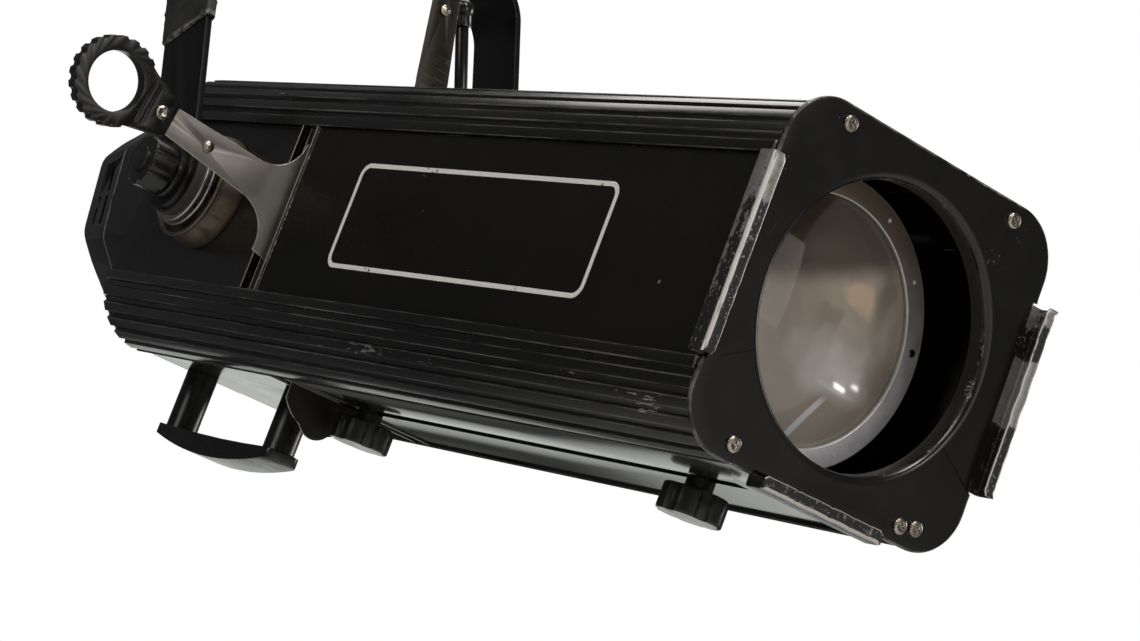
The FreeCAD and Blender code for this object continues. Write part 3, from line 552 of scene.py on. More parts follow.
def set_edge(o, fn):
    """Point attribute "edge" from a function of the housing-frame point in millimetres."""
    inv = B2W.inverted()
    me = o.data
    at = me.attributes.get("edge") or me.attributes.new("edge", "FLOAT", "POINT")
    at.data.foreach_set("value", [float(fn(inv @ v.co)) for v in me.vertices])


def set_edge_face(o, fn):
    """Face attribute "edge" from a function of each face's centre in housing-frame millimetres."""
    inv = B2W.inverted()
    me = o.data
    at = me.attributes.get("edge")
    if at is not None:
        me.attributes.remove(at)
    at = me.attributes.new("edge", "FLOAT", "FACE")
    at.data.foreach_set("value", [float(fn(inv @ f.center)) for f in me.polygons])


def sm(x, a, b):
    t = max(0.0, min(1.0, (x - a) / (b - a)))
    return t * t * (3 - 2 * t)


# ------------------------------------------------------------------ materials
M_PAINT = paint("black_enamel")
RAIL_FLECKS = [((-104, 330, -84), (16, 46, 6), 1.0), ((-104, 385, -88), (14, 22, 7), 0.8), ((-104, 262, -85), (14, 16, 6), 0.8),
               ((-103, 48, -88), (18, 34, 12), 0.95), ((-104, 120, -78), (12, 20, 4), 0.75), ((-36, 158, 103), (10, 30, 12), 0.9),
               ((-60, 205, 103), (8, 18, 10), 0.7), ((-106, 10, 58), (12, 9, 6), 0.8), ((-74, 12, 101), (14, 6, 14), 0.6),
               ((102, 60, 84), (20, 40, 12), 0.7), ((-100, 560, 80), (12, 40, 12), 0.6), ((90, 640, -80), (20, 40, 20), 0.6)]
# rails: light grey ridge corners and bevelled edges, partly polish and rubbed paint, partly a painted highlight along
# the ridges
M_RAIL = paint("black_enamel_rails", base=(0.0050, 0.0045, 0.0035), rough=0.24, wear=0.72, chips=0.42, scr=0.8, dust=0.35, flecks=RAIL_FLECKS, spec=0.62, ridge_highlight=(0.0635, 0.0585, 0.0450, math.radians(90.0 / 6)), rub_and_highlight=(0.17, 0.16, 0.145), rub_and_highlight_amt=0.85)
PANEL_FLECKS = [((-106, 244, -28), (6, 7, 4), 0.8), ((-106, 60, -20), (6, 2, 3), 0.9), ((-106, 330, 30), (6, 2, 2), 0.9),
                ((-107, 475, -10), (4, 3, 62), 1.0), ((-107, 494, -10), (4, 3, 50), 0.7)]
M_PANEL = paint("black_enamel_panels", base=(0.0050, 0.0044, 0.0032), rough=0.27, wear=0.90, chips=0.12, scr=0.55, dust=0.16,
                flecks=PANEL_FLECKS)
# underside: a heavy pale film of dust that is also a painted reflection of the pale floor below
M_UNDER = paint("black_enamel_underside", base=(0.0060, 0.0060, 0.0048), rough=0.17, wear=0.40, chips=0.25, scr=0.8, dust=0.6,
                dust_and_sheen=(0.040, 0.040, 0.034), spec=0.6, peel=0.05)
FRONT_FLECKS = [((-78, 0, 90), (16, 6, 8), 0.55), ((62, 0, 68), (22, 6, 8), 0.62), ((78, 0, 88), (12, 6, 8), 0.55), ((70, 0, -92), (20, 6, 8), 0.60),
                ((-100, 0, 56), (7, 6, 9), 0.62), ((-66, 0, -92), (10, 6, 7), 0.5), ((102, 0, 40), (4, 6, 26), 0.6), ((82, 4, -6), (3, 6, 12), 1.0)]
# front plate: light grey bevelled outer edges, partly rubbed paint, partly a painted highlight along the plate's edges
M_FRONT = paint("black_enamel_front", base=(0.0052, 0.0047, 0.0040), rough=0.22, wear=0.80, chips=0.15, scr=0.4, dust=0.30,
                flecks=FRONT_FLECKS, spec=0.5, rub_and_highlight=(0.17, 0.16, 0.145), rub_and_highlight_amt=0.8)
# rear cap: heavy edge wear and a bare-metal line along the turned rear edge, rubbed paint that also serves as a painted
# highlight there
M_CAP = paint("black_enamel_cap", base=(0.0044, 0.0040, 0.0034), rough=0.33, wear=0.95, chips=0.30, scr=0.4, dust=0.45,
              dust_and_sheen=(0.026, 0.022, 0.018), rubbed_rim_highlight=(0.729, 0.27, 0.0016), spec=0.6)
M_YOKE = paint("black_enamel_yoke", base=(0.0030, 0.0028, 0.0026), bare=(0.42, 0.41, 0.40), rough=0.30, wear=0.22, chips=0.08, scr=0.25, dust=0.10, spec=0.35)


def lip_mat(name, tone=(0.30, 0.29, 0.275), dark=(0.010, 0.0095, 0.009), patches=(), cover=0.5):
    """Folded channel lip: enamel rubbed through to grey metal, streaked along its length, dark again in places."""
    k = Mat(name)
    co = k.body
    lon = k.noise(k.scaled(co, (120, 120, 9)), 1.0, 4.0, 0.6, 0.3)
    fine = k.noise(co, 330.0, 4.0, 0.7)
    mott = k.noise(co, 70.0, 5.0, 0.7)
    worn = k.math("ADD", k.math("MULTIPLY", lon, 0.45), k.math("MULTIPLY", mott, 0.35))
    worn = k.math("ADD", worn, k.math("MULTIPLY", fine, 0.20))
    edge = k.attr("edge")
    worn = k.math("MULTIPLY_ADD", edge, 0.24, worn)
    x = k.sep(co)
    for (axis, lo, hi, amt) in patches:
        band = k.math("MULTIPLY", k.step(x[axis], lo - 0.004, lo + 0.004), k.step(x[axis], hi + 0.004, hi - 0.004))
        worn = k.math("MULTIPLY_ADD", band, amt, worn)
    m = k.step(worn, 0.64 - 0.16 * cover, 0.71 - 0.16 * cover)
    gl = k.step(k.noise(co, 520.0, 2.0, 0.6), 0.60, 0.68)
    m = k.math("MAXIMUM", m, k.math("MULTIPLY", gl, k.step(worn, 0.50 - 0.16 * cover, 0.62 - 0.16 * cover)))
    colm = k.mix(fine, tuple(c * 0.62 for c in tone), tuple(min(1, c * 1.35) for c in tone))
    sc = k.scratches(co, 2.1, (30, 30, 300), 0.010, 0.5)
    colm = k.mix(k.math("MULTIPLY", sc, 0.5), colm, tuple(min(1, c * 2.0) for c in tone))
    # edges of the fold painted brighter still: a painted highlight along the bend
    colm = k.mix(k.math("MULTIPLY", edge, 0.8), colm, tuple(min(1, c * 2.1) for c in tone))
    k.set("Base Color", k.mix(m, dark, colm))
    k.set("Metallic", k.math("MULTIPLY", m, 0.75))
    k.set("Roughness", k.math("MULTIPLY_ADD", fine, 0.2, 0.30))
    k.set("Normal", k.bump(k.math("SUBTRACT", k.math("MULTIPLY", mott, 1.2), k.math("MULTIPLY", m, 0.5)), 0.30, 0.0004))
    return k.m


M_LIP = lip_mat("worn_channel_left", cover=0.66, patches=[(2, -0.062, -0.046, -0.05), (2, 0.030, 0.060, 0.08)], tone=(0.33, 0.32, 0.30))
M_SLOT_LIP = lip_mat("worn_slot_lip", tone=(0.17, 0.16, 0.145), cover=0.80)
M_LIP_R = lip_mat("worn_channel_right", cover=0.22, patches=[(2, -0.014, 0.024, 0.30), (2, 0.044, 0.060, 0.12)], tone=(0.33, 0.32, 0.30))
M_LIP_B = lip_mat("worn_channel_bottom", tone=(0.30, 0.285, 0.265), cover=0.42)
M_INNER = paint("matt_black_inner", base=(0.0016, 0.0016, 0.0015), dust_and_sheen=(0.004, 0.004, 0.004), rough=0.50, wear=0.0, chips=0.0, scr=0.1, dust=0.15, peel=0.05)
M_BLADE = steel("blade_steel", base=(0.36, 0.335, 0.305), tint=(0.28, 0.255, 0.228), stainc=(0.17, 0.148, 0.125), rough=0.40)
M_BLADE_DARK = steel("blade_steel_dark", base=(0.016, 0.0140, 0.0110), tint=(0.009, 0.0075, 0.006), rough=0.58, metal=0.75, stainc=(0.030, 0.024, 0.017), stain=0.6)
M_BLADE_TOP = steel("blade_steel_mottled", base=(0.060, 0.055, 0.047), tint=(0.028, 0.024, 0.020), rough=0.34, stainc=(0.050, 0.034, 0.018), stain=0.6)
M_BAKE = bakelite("bakelite_black")
M_SCREW = metal("tarnished_nickel", (0.52, 0.46, 0.38), rough=0.20, dirt=(0.02, 0.017, 0.014), dirt_amt=0.65, scale=2.2)
M_SCREW_DARK = metal("blackened_screw", (0.16, 0.15, 0.14), rough=0.40, dirt_amt=0.5, scale=1.6)
M_BOSS = metal("cast_bronze_grey", (0.20, 0.165, 0.120), rough=0.36, dirt=(0.035, 0.028, 0.020), dirt_amt=0.5, metallic=0.85)
M_DISC = metal("turned_disc", (0.60, 0.59, 0.57), rough=0.30, dirt_amt=0.4)


def ring_mat():
    """Satin silver ring, painted bright low down and dark brown towards the top: a painted reflection of the bright
    floor below, painted shade above.
    """
    k = Mat("silver_ring")
    co = k.body
    x = k.sep(co)
    a = k.noise(co, 60.0, 4.0, 0.6)
    br = k.noise(k.scaled(co, (500, 60, 500)), 1.0, 3.0, 0.6)
    # bright low down, dark brown towards the top: painted reflection and painted shade
    t = k.step(k.math("MULTIPLY_ADD", a, 0.03, x[2]), -0.030, 0.095)
    low = k.mix(br, (0.84, 0.83, 0.86), (1.0, 0.99, 1.0))
    col = k.mix(t, low, (0.20, 0.155, 0.11))
    col = k.mix(k.math("MULTIPLY", k.step(a, 0.50, 0.75), 0.25), col, (0.20, 0.17, 0.14))
    edge = k.attr("edge")
    # inner and outer edges painted brighter all round: a painted highlight
    col = k.mix(k.math("MULTIPLY", edge, 0.6), col, (0.85, 0.83, 0.80))
    k.set("Base Color", col)
    k.set("Metallic", 0.35)
    k.set("Roughness", k.math("MULTIPLY_ADD", br, 0.16, 0.28))
    k.set("Normal", k.bump(br, 0.08, 0.0002))
    return k.m


M_RING = ring_mat()
M_ALU = metal("mill_aluminium", (0.70, 0.70, 0.69), rough=0.34, dirt_amt=0.35)
M_MIRROR = metal("polished_reflector", (0.86, 0.86, 0.87), rough=0.16, dirt_amt=0.1)


def fibre():
    k = Mat("fibre_washer")
    a = k.noise(k.co, 500.0, 4.0, 0.7)
    k.set("Base Color", k.mix(a, (0.010, 0.009, 0.008), (0.040, 0.034, 0.028)))
    k.set("Roughness", k.math("MULTIPLY_ADD", a, 0.2, 0.6))
    k.set("Normal", k.bump(a, 0.3, 0.0003))
    return k.m


def wrap_mat():
    """Black cloth-backed wrap: fine weave, greasy patches, dust."""
    k = Mat("black_wrap")
    w1 = k.n("ShaderNodeTexWave", wave_type="BANDS", bands_direction="Z", i_Scale=420.0, i_Distortion=0.6)
    k.l(k.co, w1.inputs["Vector"])
    w2 = k.n("ShaderNodeTexWave", wave_type="BANDS", bands_direction="Y", i_Scale=420.0, i_Distortion=0.6)
    k.l(k.co, w2.inputs["Vector"])
    wv = k.math("MULTIPLY", w1.outputs["Fac"], w2.outputs["Fac"])
    a = k.noise(k.co, 45.0, 4.0, 0.65)
    col = k.mix(k.step(a, 0.35, 0.75), (0.009, 0.009, 0.009), (0.026, 0.025, 0.023))
    col = k.mix(k.math("MULTIPLY", wv, 0.35), col, (0.035, 0.034, 0.032))
    fray = k.math("MULTIPLY", k.attr("edge"), k.step(k.noise(k.co, 260.0, 4.0, 0.7), 0.40, 0.62))
    col = k.mix(fray, col, (0.20, 0.19, 0.17))
    k.set("Base Color", col)
    k.set("Roughness", k.math("MULTIPLY_ADD", a, 0.3, 0.45))
    k.set("Normal", k.bump(k.math("ADD", wv, k.math("MULTIPLY", a, 2.0)), 0.22, 0.0004))
    return k.m


def glass_mat(name, tint=(0.90, 0.87, 0.82), film=(0.30, 0.265, 0.23), film_amt=0.10, rough=0.02):
    """Clear glass under a thin even film of dust."""
    k = Mat(name)
    co = k.body
    b = k.b
    b.inputs["Transmission Weight"].default_value = 1.0
    b.inputs["IOR"].default_value = 1.50
    b.inputs["Roughness"].default_value = rough
    b.inputs["Base Color"].default_value = (tint[0], tint[1], tint[2], 1)
    d = k.n("ShaderNodeBsdfPrincipled")
    cl = k.noise(co, 11.0, 3.0, 0.5, 0.4)
    k.l(k.mix(cl, tuple(c * 0.80 for c in film), tuple(min(1, c * 1.25) for c in film)), d.inputs["Base Color"])
    d.inputs["Roughness"].default_value = 0.55
    f = k.math("MULTIPLY_ADD", k.step(cl, 0.3, 0.75), 0.08, film_amt - 0.04, clamp=True)
    mx = k.n("ShaderNodeMixShader")
    k.l(f, mx.inputs[0])
    k.l(b.outputs[0], mx.inputs[1])
    k.l(d.outputs[0], mx.inputs[2])
    k.l(mx.outputs[0], k.out.inputs[0])
    return k.m


def old_lens():
    """Front lens: polished glass with a baked smoke haze, thick and warm grey low down and thin near the top; the haze
    colour also carries painted reflections: painted light patches and glare low down, painted shade near the top.
    """
    k = Mat("old_lens_glass")
    co = k.body
    b = k.b
    b.inputs["Transmission Weight"].default_value = 1.0
    b.inputs["IOR"].default_value = 1.50
    b.inputs["Roughness"].default_value = 0.03
    b.inputs["Base Color"].default_value = (0.80, 0.72, 0.62, 1)
    d = k.n("ShaderNodeBsdfPrincipled")
    x = k.sep(co)
    X, Z = x[0], x[2]
    warp = k.math("SUBTRACT", k.noise(co, 22.0, 3.0, 0.5), 0.5)
    warp2 = k.math("SUBTRACT", k.noise(co, 60.0, 3.0, 0.55), 0.5)

    def blob(cx, cz, rx, rz, lo=1.25, hi=0.35, wv=0.9):
        u = k.math("MULTIPLY", k.math("SUBTRACT", X, cx / 1000.0), 1000.0 / rx)
        v = k.math("MULTIPLY", k.math("SUBTRACT", Z, cz / 1000.0), 1000.0 / rz)
        r2 = k.math("SQRT", k.math("ADD", k.math("MULTIPLY", u, u), k.math("MULTIPLY", v, v)))
        r2 = k.math("MULTIPLY_ADD", warp, wv, r2)
        return k.step(r2, lo, hi)

    cl = k.noise(co, 15.0, 3.0, 0.5, 0.5)
    mid = k.mix(k.step(cl, 0.3, 0.7), (0.36, 0.305, 0.245), (0.50, 0.430, 0.350))
    # a little paler towards the lower left edge: a painted reflection
    pale = k.step(k.math("MULTIPLY_ADD", X, 0.5, Z), 0.0, -0.070)
    col = k.mix(k.math("MULTIPLY", pale, 0.6), mid, (0.62, 0.555, 0.49))
    # the haze colour changes along a slanting line; above it the glass is painted dark, a painted shade, and the haze
    # is thinner
    line = k.math("SUBTRACT", Z, k.math("MULTIPLY_ADD", X, 0.46, 0.0310))
    line = k.math("MULTIPLY_ADD", warp, 0.016, line)
    up = k.step(line, -0.0090, 0.0085)
    # a painted warm brown highlight in the haze colour
    tan_highlight = k.math("MULTIPLY", blob(21, 24, 21, 15, 1.10, 0.80, 2.6), 0.85)
    col = k.mix(tan_highlight, col, (0.80, 0.60, 0.41))
    wedge = k.math("MULTIPLY", blob(45, 31, 11, 24, 1.2, 0.4, 2.0), 0.70)
    col = k.mix(wedge, col, (0.17, 0.14, 0.095))
    notch = k.math("MULTIPLY", k.step(k.math("MULTIPLY_ADD", warp2, 2.2, k.math("MULTIPLY_ADD", warp, 3.2, k.math("MULTIPLY", k.math("ABSOLUTE", k.math("SUBTRACT", Z, k.math("MULTIPLY_ADD", X, 0.5, 0.004))), 90.0))), 0.85, 0.35), k.math("MULTIPLY", k.step(X, -0.010, 0.002), k.step(X, 0.034, 0.020)))
    col = k.mix(k.math("MULTIPLY", notch, 0.42), col, (0.27, 0.22, 0.175))
    # painted glare: two pale glows and a thin bright arc, painted reflections of lamps in the haze colour
    glow = k.math("MULTIPLY", blob(20, -16, 26, 20, 1.3, 0.1, 2.6), 0.55)
    col = k.mix(glow, col, (0.86, 0.82, 0.79))
    glow2 = k.math("MULTIPLY", blob(37, -26, 22, 12, 1.2, 0.0, 1.2), 0.55)
    col = k.mix(glow2, col, (1.0, 0.98, 0.95))
    arc = blob(33, -30, 17, 2.2, 1.2, 0.3, 1.1)
    col = k.mix(k.math("MULTIPLY", arc, 0.5), col, (1.0, 1.0, 0.98))
    dark = k.mix(k.step(k.noise(co, 18.0, 3.0, 0.5, 0.4), 0.35, 0.7), (0.045, 0.028, 0.016), (0.115, 0.082, 0.054))
    col = k.mix(up, col, dark)
    # curved bright streak low on the glass
    t = k.math("ADD", Z, 0.064)
    xs = k.math("ADD", k.math("MULTIPLY", t, 0.36), k.math("MULTIPLY", k.math("MULTIPLY", t, t), 4.0))
    off = k.math("ABSOLUTE", k.math("SUBTRACT", X, k.math("ADD", xs, 0.0123)))
    band = k.math("MULTIPLY", k.step(off, 0.0032, 0.0014), k.math("MULTIPLY", k.step(Z, -0.068, -0.063), k.step(Z, -0.034, -0.042)))
    col = k.mix(k.math("MULTIPLY", band, 0.9), col, (1.0, 1.0, 1.0))
    spk = k.step(k.noise(co, 520.0, 2.0, 0.5), 0.72, 0.80)
    col = k.mix(k.math("MULTIPLY", spk, 0.10), col, (0.7, 0.68, 0.65))
    k.l(col, d.inputs["Base Color"])
    d.inputs["Roughness"].default_value = 0.60
    d.inputs["Specular IOR Level"].default_value = 0.0
    f = k.math("MULTIPLY_ADD", up, -0.22, 0.88)
    f = k.math("MULTIPLY_ADD", warp2, 0.06, f, clamp=True)
    mx = k.n("ShaderNodeMixShader")
    k.l(f, mx.inputs[0])
    k.l(b.outputs[0], mx.inputs[1])
    k.l(d.outputs[0], mx.inputs[2])
    g = k.n("ShaderNodeBsdfGlossy")
    g.inputs["Roughness"].default_value = 0.045
    fr = k.n("ShaderNodeFresnel")
    fr.inputs["IOR"].default_value = 1.5
    mx2 = k.n("ShaderNodeMixShader")
    k.l(fr.outputs[0], mx2.inputs[0])
    k.l(mx.outputs[0], mx2.inputs[1])
    k.l(g.outputs[0], mx2.inputs[2])
    # the back surface of the glass also mirrors, and as seen from the front it is hollow: its normal leans the other way
    axis = (0.0, -math.cos(TILT), -math.sin(TILT))
    geo = k.n("ShaderNodeNewGeometry")
    dt = k.n("ShaderNodeVectorMath", operation="DOT_PRODUCT")
    k.l(geo.outputs["Normal"], dt.inputs[0])
    dt.inputs[1].default_value = axis
    qa = k.n("ShaderNodeVectorMath", operation="SCALE")
    qa.inputs[0].default_value = axis
    k.l(dt.outputs["Value"], qa.inputs["Scale"])
    tn = k.n("ShaderNodeVectorMath", operation="SUBTRACT")
    k.l(qa.outputs[0], tn.inputs[0])
    k.l(geo.outputs["Normal"], tn.inputs[1])
    t2 = k.n("ShaderNodeVectorMath", operation="SCALE")
    k.l(tn.outputs[0], t2.inputs[0])
    t2.inputs["Scale"].default_value = 2.0
    ad = k.n("ShaderNodeVectorMath", operation="ADD")
    k.l(qa.outputs[0], ad.inputs[0])
    k.l(t2.outputs[0], ad.inputs[1])
    nn = k.n("ShaderNodeVectorMath", operation="NORMALIZE")
    k.l(ad.outputs[0], nn.inputs[0])
    g2 = k.n("ShaderNodeBsdfGlossy")
    g2.inputs["Roughness"].default_value = 0.085
    g2.inputs["Color"].default_value = (1.0, 0.97, 0.93, 1)
    k.l(nn.outputs[0], g2.inputs["Normal"])
    mx3 = k.n("ShaderNodeMixShader")
    mx3.inputs[0].default_value = 0.030
    k.l(mx2.outputs[0], mx3.inputs[1])
    k.l(g2.outputs[0], mx3.inputs[2])
    k.l(mx3.outputs[0], k.out.inputs[0])
    return k.m


def label_mat():
    k = Mat("label_silver")
    a = k.noise(k.body, 150.0, 5.0, 0.75)
    b = k.noise(k.body, 30.0, 4.0, 0.7)
    both = k.math("ADD", k.math("MULTIPLY", a, 0.5), k.math("MULTIPLY", b, 0.5))
    worn = k.step(both, 0.60, 0.64)
    k.set("Base Color", k.mix(worn, k.mix(a, (0.66, 0.65, 0.62), (0.92, 0.90, 0.87)), (0.02, 0.02, 0.02)))
    k.set("Metallic", 0.0)
    k.set("Roughness", k.math("MULTIPLY_ADD", a, 0.3, 0.35))
    k.set("Normal", k.bump(a, 0.1, 0.0002))
    return k.m


def plain(name, base, rough, tex=120.0, amt=0.5, metallic=0.0, bumpy=0.12):
    k = Mat(name)
    a = k.noise(k.co, tex, 4.0, 0.65)
    k.set("Base Color", k.mix(a, tuple(c * (1 - 0.5 * amt) for c in base), tuple(min(1, c * (1 + 0.4 * amt)) for c in base)))
    k.set("Metallic", metallic)
    k.set("Roughness", k.math("MULTIPLY_ADD", a, 0.25, max(0.02, rough - 0.12)))
    k.set("Normal", k.bump(a, bumpy, 0.0003))
    return k.m


M_FIBRE = fibre()
M_WRAP = wrap_mat()
M_GLASS = old_lens()
M_GLASS2 = glass_mat("rear_lens_glass", film_amt=0.10)
M_LAMP = glass_mat("lamp_quartz", film_amt=0.06, film=(0.5, 0.5, 0.5))
M_LABEL = label_mat()
M_CERAMIC = plain("steatite", (0.62, 0.58, 0.50), 0.45, 90.0, 0.3)
M_GLOSS = plain("gloss_black", (0.010, 0.010, 0.010), 0.20, 200.0, 0.8)
M_DOT = plain("white_paint_dot", (0.74, 0.72, 0.68), 0.5, 400.0, 0.3)
M_TAPE = plain("old_pale_tape", (0.40, 0.38, 0.345), 0.6, 260.0, 0.9, bumpy=0.4)
M_COPPER = plain("brass_contact", (0.62, 0.42, 0.20), 0.3, 300.0, 0.5, metallic=1.0)

# ------------------------------------------------------------------ camera
fit_C = (-1061.4, -1254.2, -313.7)
fit_R = ((0.73815175, -0.57770479, 0.34840949), (0.37302265, -0.08081327, -0.92429612), (0.5621264, 0.81223543, 0.15584452))
cam_d = bpy.data.cameras.new("camera")
cam = link(bpy.data.objects.new("camera", cam_d))
right, down, fwd = (ROT_W @ Vector(r) for r in fit_R)
rot = Matrix((right, -down, -fwd)).transposed()
cam.matrix_world = Matrix.Translation(B2W @ Vector(fit_C)) @ rot.to_4x4()
cam_d.sensor_fit = "HORIZONTAL"
cam_d.sensor_width = 36.0
cam_d.lens = 3040.0 / 1140.0 * 36.0
cam_d.clip_start, cam_d.clip_end = 0.05, 60.0
bpy.context.scene.camera = cam

# ------------------------------------------------------------------ front plate
def outline_points():
    """Outer edge of the front plate, anticlockwise, with its lobed corners and side steps."""
    hx, hz, r = HX, HZ + RIB, 33.0
    pts = []

    def arc(cx, cz, a0, a1, n=18):
        for i in range(n + 1):
            a = math.radians(a0 + (a1 - a0) * i / n)
            pts.append((cx + r * math.cos(a), cz + r * math.sin(a)))

    st = 2.5
    pts.extend([(hx - st, -59), (hx - st, -20), (hx - st, 20), (hx - st, 58.2), (hx, 59.2)])
    arc(hx - r, hz - r, 0, 90)
    pts.extend([(40, hz), (0, hz), (-40, hz)])
    arc(-hx + r, hz - r, 90, 180)
    pts.extend([(-hx, 59.2), (-hx + st, 58.2), (-hx + st, 20), (-hx + st, -20), (-hx + st, -58.2), (-hx, -59.2)])
    arc(-hx + r, -hz + r, 180, 270)
    pts.extend([(-48.8, -hz), (-47.8, -hz + st), (-20, -hz + st), (20, -hz + st), (47.8, -hz + st), (48.8, -hz)])
    arc(hx - r, -hz + r, 270, 360)
    pts.extend([(hx, -59.2), (hx - st, -58.4)])
    return pts


def front_plate():
    pts = outline_points()
    dens = []
    for i, p in enumerate(pts):
        q = pts[(i + 1) % len(pts)]
        d = math.hypot(q[0] - p[0], q[1] - p[1])
        k = max(1, int(d / 4.0))
        for j in range(k):
            dens.append((p[0] + (q[0] - p[0]) * j / k, p[1] + (q[1] - p[1]) * j / k))
    n = len(dens)
    vs, fs = [], []
    R = OPEN_R
    prof_in = [(R + 2.0, 14.0), (R + 0.9, 14.0), (R + 0.2, 13.4), (R, 12.5), (R, 9.0), (R, 6.0), (R + 0.1, 4.2), (R + 0.45, 2.9), (R + 1.1, 1.75),
               (R + 2.0, 0.85), (R + 3.1, 0.25), (R + 4.4, 0.0), (R + 5.2, 0.0)]
    rows = 0
    for i, (x, z) in enumerate(dens):
        a = math.atan2(z, x)
        c, s = math.cos(a), math.sin(a)
        L = math.hypot(x, z)
        col = [(r * c, y, r * s) for r, y in prof_in]
        r0 = R + 5.2
        for t, off, y in ((0.25, 0, 0.0), (0.5, 0, 0.0), (0.75, 0, 0.0)):
            rr = r0 + (L - 1.6 - r0) * t
            col.append((rr * c, y, rr * s))
        for off, y in ((1.5, 0.0), (0.9, 0.06), (0.35, 0.35), (0.06, 0.9), (0.0, 1.5), (0.06, 2.2), (0.5, 2.85), (1.2, 3.0)):
            col.append(((L - off) * c, y, (L - off) * s))
        for t in (0.6, 0.2):
            rr = r0 + (L - 1.6 - r0) * t
            col.append((rr * c, 3.0, rr * s))
        col.append(((R + 3.2) * c, 3.0, (R + 3.2) * s))
        col.append(((R + 2.2) * c, 4.2, (R + 2.2) * s))
        rows = len(col)
        vs.extend(col)
    for i in range(n):
        j = (i + 1) % n
        for p in range(rows):
            q = (p + 1) % rows
            fs.append((i * rows + p, i * rows + q, j * rows + q, j * rows + p))
    o = mesh_obj("front_plate.fine", vs, fs, M_FRONT, B2W, 50.0)

    def dent(v):
        return 1.0
    inv = B2W.inverted()
    for v in o.data.vertices:
        b = inv @ v.co
        if b.y < 4.5:
            # slight hand-bent waviness of the sheet
            w = noise.noise(Vector((b.x * 0.018, b.z * 0.018, 3.0))) * 0.35
            b.y += w * sm(math.hypot(b.x, b.z), OPEN_R, OPEN_R + 10)
            b.y = max(b.y, 0.0) if w < 0 else b.y
            v.co = B2W @ b
    # edge faces along the plate's outer edge and hem, which the front enamel paints lighter: rubbed paint and a painted
    # highlight
    set_edge_face(o, lambda b: 1.0 if (-0.3 < b.y < 2.6 and math.hypot(b.x, b.z) > R + 8.0 and (
        abs(b.x) > HX - 1.3 or abs(b.z) > HZ + RIB - 1.3 or math.hypot(max(0, abs(b.x) - (HX - 33)), max(0, abs(b.z) - (HZ + RIB - 33))) > 31.9)) else
        (0.25 if math.hypot(b.x, b.z) < R + 0.8 and 0.5 < b.y < 4 else 0.0))
    return ride(o, "housing", "black_paint", "front_plate")


front_plate()


# ------------------------------------------------------------------ colour frame channels
def channel(name, node, side):
    """Folded strip: back leg, web and turned-in lip, with small dents along its free edges."""
    rnd = random.Random(hash_seed(name))
    H = 57.0 if side != "bottom" else 46.0
    ox = 9.0 if side != "bottom" else 8.5
    base = HX if side != "bottom" else HZ
    # section in (outward, y); closed
    sec = [(base - 8.5, 3.05), (base + ox - 2.2, 3.05), (base + ox - 1.5, 2.4), (base + ox - 1.5, -7.6), (base + ox - 2.4, -8.5), (base + 1.2, -8.5),
           (base + 0.6, -8.9), (base + 0.6, -9.6), (base + 1.2, -9.98), (base + ox - 2.0, -9.98), (base + ox - 0.6, -9.4), (base + ox, -8.0),
           (base + ox, 2.6), (base + ox - 0.7, 4.1), (base + ox - 1.9, 4.48), (base - 8.5, 4.48)]
    n = 40
    vs, fs = [], []
    k = len(sec)
    for i in range(n + 1):
        t = -H + 2 * H * i / n
        endr = min(H - abs(t), 3.0)
        for j, (u, y) in enumerate(sec):
            uu, yy = u, y
            lipd = sm(-y, 2.0, 9.0)
            if side != "left":
                uu -= lipd * 0.35 * (1 + noise.noise(Vector((t * 0.11, 5.0 + rnd.random() * 0.001, 1.0))))
            yy += lipd * 0.30 * (1 + noise.noise(Vector((t * 0.09, 9.0, 2.0)))) * (1.6 if side == "right" else 1.0)
            if 5 <= j <= 9:
                # free edge of the lip, nicked by frames going in and out
                uu += max(0.0, noise.noise(Vector((t * 0.35, 3.3, 7.7))) - 0.15) * 1.3
                uu += max(0.0, 2.4 - endr) * 0.8
            if side == "left":
                vs.append((-uu, yy, t))
            elif side == "right":
                vs.append((uu, yy, t))
            else:
                vs.append((t, yy, -uu))
    for i in range(n):
        for j in range(k):
            q = (j + 1) % k
            fs.append((i * k + j, i * k + q, (i + 1) * k + q, (i + 1) * k + j))
    fs.append(tuple(range(k)))
    fs.append(tuple(reversed(range(n * k, n * k + k))))
    o = mesh_obj(name, vs, fs, {"left": M_LIP, "right": M_LIP_R}.get(side, M_LIP_B), B2W, 40.0)

    # edge faces of the fold, painted brighter by the lip materials as a painted highlight along the bend
    def lip_edge(b):
        u = abs(b.x) if side != "bottom" else -b.z
        if b.y < -7.2 and u > base + ox - 2.2:
            return 1.0
        if b.y < -8.0 and u < base + 2.0:
            return 0.9
        return 0.12
    set_edge_face(o, lip_edge)
    return ride(o, "housing", "channel_paint", node)


def hash_seed(s):
    return sum((i + 1) * ord(c) for i, c in enumerate(s)) % 99991


channel("colour_channel_left.fine", "colour_channel_left", "left")
channel("colour_channel_right.fine", "colour_channel_right", "right")
channel("colour_channel_bottom.fine", "colour_channel_bottom", "bottom")


# ------------------------------------------------------------------ ribbed corners and panels
for nm in ("corner_rail_top_right", "corner_rail_top_left", "corner_rail_bottom_left", "corner_rail_bottom_right"):
    detail(nm, M_RAIL, 0.42, 2, 24.0)
for nm in ("side_panel_front_left", "side_panel_front_right", "side_panel_rear_left", "side_panel_rear_right", "top_panel_front",
           "top_panel_rear", "bottom_panel_front", "bottom_panel_rear"):
    pn = detail(nm, M_UNDER if nm.startswith("bottom") else M_PANEL, 0.45, 3) or bpy.data.objects[nm + ".fine"]
    if not nm.startswith("bottom"):
        # folded lips of the shutter slot, rubbed bright by the blades
        pn.data.materials.append(M_SLOT_LIP)
        binv = B2W.inverted()
        for pl in pn.data.polygons:
            pc = binv @ pl.center
            if 473.9 < pc.y < 495.1 and (abs(pc.x) > HX + 0.3 or abs(pc.z) > HZ + 0.3):
                pl.material_index = 1

